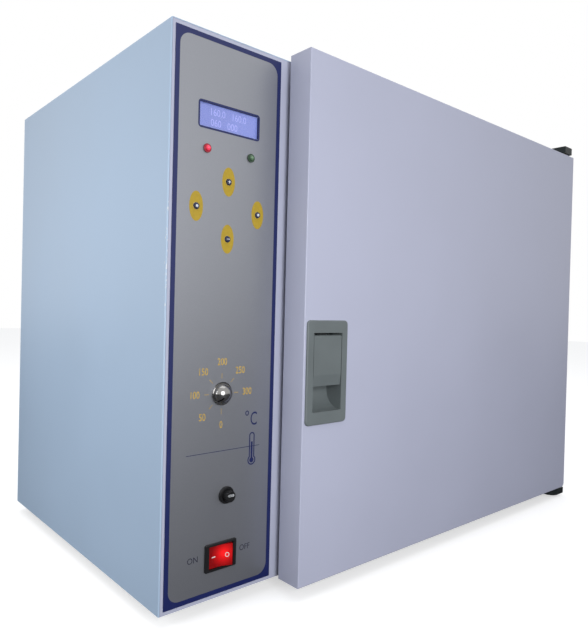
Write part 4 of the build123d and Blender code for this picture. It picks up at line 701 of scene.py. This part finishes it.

# Marks on the buttons: a plus and a minus, and on the two side buttons a pale dome that is a painted highlight
HIGHLIGHT_DOT_PROFILE = ((1.25, -0.02), (1.2, 0.1), (0.8, 0.2), (0, 0.24))
SIGN_LENGTH = 2.6
SIGN_WIDTH = 0.7
SIGN_THICKNESS = 0.1
for body in ("button_up", "button_down", "button_left", "button_right"):
    face = front_centre(body)
    if body in ("button_left", "button_right"):
        # The pale dome on the side buttons is a painted highlight
        add_piece(f"{body}_highlight_dot", turned_mesh(HIGHLIGHT_DOT_PROFILE, face), body, pale_ink, smooth=True)
        continue
    bars = [flat_mesh([rectangle(0, 0, SIGN_LENGTH, SIGN_WIDTH)], SIGN_THICKNESS)]
    if body == "button_up":
        bars.append(flat_mesh([rectangle(0, 0, SIGN_WIDTH, SIGN_LENGTH)], SIGN_THICKNESS - 0.01))
    mark = joined(bars)
    mark.transform(upright(face))
    add_piece(f"{body}_sign", mark, body, pale_ink)

# Marks on the rocker: a bar on the pressed side and a ring on the raised side
ROCKER_TILT = math.radians(10)
ROCKER_SLOPE = math.atan2(1.8, 11.2)
ROCKER_MIDDLE_HEIGHT = 3.8
MARK_ALONG = 6.4
MARK_LIFT = 0.03
MARK_THICKNESS = 0.08


def on_rocker(loops, side):
    """A flat mark on the left half (side -1) or the right half (side 1) of the rocker's face."""
    height = ROCKER_MIDDLE_HEIGHT + MARK_ALONG * math.tan(ROCKER_SLOPE) + MARK_LIFT
    rocker_place = Matrix.Translation(rocker_pivot) @ Matrix.Rotation(-ROCKER_TILT, 4, "Z")
    on_face = Matrix.Translation((side * MARK_ALONG * MM, -height * MM, 0))
    lean = Matrix.Rotation(-side * ROCKER_SLOPE, 4, "Z")
    mesh = flat_mesh(loops, MARK_THICKNESS)
    mesh.transform(rocker_place @ on_face @ lean @ upright((0, 0, 0)))
    return mesh


rocker_marks = joined([
    on_rocker([rectangle(0, 0, 3.6, 0.9)], -1),
    on_rocker([ring(0, 0, 1.9, 2.1), ring(0, 0, 1.3, 1.5)], 1),
])
add_piece("rocker_marks", rocker_marks, "rocker", rocker_ink)

# Fuse sign on the cap's end: a box with a line through it
FUSE_SIGN_UP = 1.2
FUSE_SIGN_LIFT = 0.02
fuse_sign = joined([
    flat_mesh([rounded(0, FUSE_SIGN_UP, 5.2, 1.9, 0.3), rounded(0, FUSE_SIGN_UP, 4.6, 1.3, 0.2)], 0.08),
    flat_mesh([rectangle(0, FUSE_SIGN_UP, 7.0, 0.3)], 0.07),
])
fuse_sign.transform(upright(front_centre("fuse_cap") - Vector((0, FUSE_SIGN_LIFT * MM, 0))))
add_piece("fuse_sign", fuse_sign, "fuse_cap", pale_ink)


# Screws: pan heads with a cross recess, in place of the plain heads
def islands(node):
    """The separate solids of a node, each as its lowest and highest corner, in order of their places."""
    bm = bmesh.new()
    bm.from_mesh(NODES[node].data)
    bmesh.ops.remove_doubles(bm, verts=bm.verts, dist=1e-6)
    left = set(bm.verts)
    found = []
    while left:
        stack = [left.pop()]
        low, high = stack[0].co.copy(), stack[0].co.copy()
        while stack:
            vert = stack.pop()
            low = Vector(map(min, low, vert.co))
            high = Vector(map(max, high, vert.co))
            for edge in vert.link_edges:
                other = edge.other_vert(vert)
                if other in left:
                    left.remove(other)
                    stack.append(other)
        found.append((low, high))
    bm.free()
    return sorted(found, key=lambda corners: tuple(corners[0]))


# Pan head: shares of its radius and of its height, from its seat to its top
HEAD_PROFILE = ((0.55, -0.1), (1.0, -0.1), (1.0, 0.4), (0.93, 0.72), (0.78, 0.93), (0.62, 1.0))
HEAD_RADIUS = 3.8
HEAD_HEIGHT = 2.2
CROSS_ARM = 0.50
CROSS_HALF_WIDTH = 0.11
CROSS_CORNERS = (
    (CROSS_ARM, -CROSS_HALF_WIDTH), (CROSS_ARM, CROSS_HALF_WIDTH), (CROSS_HALF_WIDTH, CROSS_HALF_WIDTH),
)
CROSS_FLOOR = (0.72, 0.3)


def cross_head(radius, height, turn):
    """A pan head with a cross recess, on its seat at z 0 with its top at height, in metres."""
    bm = bmesh.new()
    steps = 24
    rings = []
    for wide, tall in HEAD_PROFILE:
        rings.append([
            bm.verts.new((radius * wide * math.cos(2 * math.pi * s / steps),
                          radius * wide * math.sin(2 * math.pi * s / steps), height * tall))
            for s in range(steps)
        ])
    for near, far in zip(rings, rings[1:]):
        for s in range(steps):
            bm.faces.new((near[s], near[(s + 1) % steps], far[(s + 1) % steps], far[s]))
    bm.faces.new(list(reversed(rings[0])))
    cross = []
    for quarter in range(4):
        c, s = math.cos(quarter * math.pi / 2 + turn), math.sin(quarter * math.pi / 2 + turn)
        for x, y in CROSS_CORNERS:
            cross.append((radius * (x * c - y * s), radius * (x * s + y * c)))
    top = [bm.verts.new((x, y, height)) for x, y in cross]
    narrow, low = CROSS_FLOOR
    floor = [bm.verts.new((x * narrow, y * narrow, height * low)) for x, y in cross]
    count = len(cross)
    for s in range(count):
        bm.faces.new((top[s], floor[s], floor[(s + 1) % count], top[(s + 1) % count]))
    bm.faces.new(floor)
    rim = [bm.edges.get((rings[-1][s], rings[-1][(s + 1) % steps])) for s in range(steps)]
    rim += [bm.edges.get((top[s], top[(s + 1) % count])) for s in range(count)]
    bmesh.ops.triangle_fill(bm, edges=rim, use_beauty=True)
    bmesh.ops.recalc_face_normals(bm, faces=bm.faces)
    mesh = bpy.data.meshes.new("head")
    bm.to_mesh(mesh)
    bm.free()
    return mesh


def screw_heads(name, node, body):
    """Cross heads in place of a node's plain screws, which face backwards, each at its own turn."""
    turn = Vector((0, 1, 0)).to_track_quat("Z", "Y").to_matrix().to_4x4()
    meshes = []
    for index, (low, high) in enumerate(islands(node)):
        place = Vector(((low.x + high.x) / 2, high.y - HEAD_HEIGHT * MM, (low.z + high.z) / 2))
        head = cross_head(HEAD_RADIUS * MM, HEAD_HEIGHT * MM, 0.4 + 1.1 * index)
        head.transform(Matrix.Translation(place) @ turn)
        meshes.append(head)
    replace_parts(add_piece(name, joined(meshes), body, MATERIALS["screws"]), node)


screw_heads("rear_screw_heads", "rear_screws", "cabinet")
screw_heads("door_screw_heads", "door_screws", "door")

# Contacts in the mains inlet: nickel sleeves on the three pins
CONTACTS = ((0, 2), (-7, -2), (7, -2))
CONTACT_SIZE = (2.1, 14.1, 4.1)
CONTACT_MIDDLE_DEPTH = 10.9
CONTACT_BEVEL = 0.6
inlet_low, inlet_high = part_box("power_inlet")
inlet_middle = (inlet_low + inlet_high) / 2
pin_meshes = []
for across, up in CONTACTS:
    place = Matrix.Translation((
        inlet_middle.x + across * MM, inlet_high.y - CONTACT_MIDDLE_DEPTH * MM, inlet_middle.z + up * MM,
    ))
    bm = bmesh.new()
    bmesh.ops.create_cube(bm, size=1)
    size = Matrix.Diagonal((*(length * MM for length in CONTACT_SIZE), 1))
    bmesh.ops.transform(bm, verts=bm.verts, matrix=place @ size)
    tip = [edge for edge in bm.edges if all(v.co.y > place.translation.y for v in edge.verts)]
    bmesh.ops.bevel(bm, geom=tip, offset=CONTACT_BEVEL * MM, segments=2, affect="EDGES")
    mesh = bpy.data.meshes.new("pin")
    bm.to_mesh(mesh)
    bm.free()
    pin_meshes.append(mesh)
add_piece("inlet_contacts", joined(pin_meshes), "cabinet", MATERIALS["bright_steel"])


# Floor, lamps and world
def ray_switch(tree, *kinds):
    """1 for rays of the named kinds, and 0 for the light on the object."""
    path = tree.nodes.new("ShaderNodeLightPath")
    last = path.outputs[kinds[0]]
    for kind in kinds[1:]:
        either = tree.nodes.new("ShaderNodeMath")
        either.operation = "MAXIMUM"
        tree.links.new(last, either.inputs[0])
        tree.links.new(path.outputs[kind], either.inputs[1])
        last = either.outputs[0]
    return last


def make_world():
    """Soft light on the object, and white where the camera, mirrors and glass see the background."""
    world = bpy.data.worlds.new("studio")
    world.use_nodes = True
    tree = world.node_tree
    tree.nodes.clear()
    output = tree.nodes.new("ShaderNodeOutputWorld")
    mix = tree.nodes.new("ShaderNodeMixShader")
    light = tree.nodes.new("ShaderNodeBackground")
    white = tree.nodes.new("ShaderNodeBackground")
    white.inputs["Color"].default_value = (1, 1, 1, 1)
    light.inputs["Color"].default_value = (*STUDIO_LIGHT, 1)
    light.inputs["Strength"].default_value = STUDIO_STRENGTH
    tree.links.new(ray_switch(tree, "Is Camera Ray", "Is Glossy Ray", "Is Transmission Ray"), mix.inputs[0])
    tree.links.new(light.outputs[0], mix.inputs[1])
    tree.links.new(white.outputs[0], mix.inputs[2])
    tree.links.new(mix.outputs[0], output.inputs["Surface"])
    bpy.context.scene.world = world


def make_floor():
    """A white floor that takes a soft shadow, and that mirrors see darker."""
    corners = [(sx * FLOOR_HALF, sy * FLOOR_HALF, 0) for sx, sy in ((-1, -1), (1, -1), (1, 1), (-1, 1))]
    mesh = bpy.data.meshes.new("floor")
    mesh.from_pydata(corners, [], [(0, 1, 2, 3)])
    floor = bpy.data.objects.new("floor", mesh)
    bpy.context.scene.collection.objects.link(floor)
    material = bpy.data.materials.new("floor")
    material.use_nodes = True
    tree = material.node_tree
    tree.nodes.clear()
    output = tree.nodes.new("ShaderNodeOutputMaterial")
    mix = tree.nodes.new("ShaderNodeMixShader")
    dark = tree.nodes.new("ShaderNodeBsdfDiffuse")
    pale = tree.nodes.new("ShaderNodeBsdfDiffuse")
    dark.inputs["Color"].default_value = (*FLOOR_MIRRORED, 1)
    pale.inputs["Color"].default_value = (1, 1, 1, 1)
    tree.links.new(ray_switch(tree, "Is Camera Ray", "Is Transmission Ray"), mix.inputs[0])
    glow = tree.nodes.new("ShaderNodeEmission")
    soft = tree.nodes.new("ShaderNodeMixShader")
    glow.inputs["Strength"].default_value = FLOOR_GLOW
    soft.inputs[0].default_value = FLOOR_SHADOW_SHARE
    tree.links.new(glow.outputs[0], soft.inputs[1])
    tree.links.new(pale.outputs[0], soft.inputs[2])
    tree.links.new(dark.outputs[0], mix.inputs[1])
    tree.links.new(soft.outputs[0], mix.inputs[2])
    tree.links.new(mix.outputs[0], output.inputs["Surface"])
    mesh.materials.append(material)


def area_lamp(name, place, target, size, power, color):
    """A square lamp that faces its target."""
    data = bpy.data.lights.new(name, "AREA")
    data.size = size
    data.energy = power
    data.color = color
    lamp = bpy.data.objects.new(name, data)
    lamp.location = place
    lamp.rotation_euler = (Vector(target) - Vector(place)).to_track_quat("-Z", "Y").to_euler()
    bpy.context.scene.collection.objects.link(lamp)


make_world()
make_floor()
for lamp_name, settings in LAMPS.items():
    area_lamp(lamp_name, *settings)
bpy.context.scene.view_settings.view_transform = "Standard"
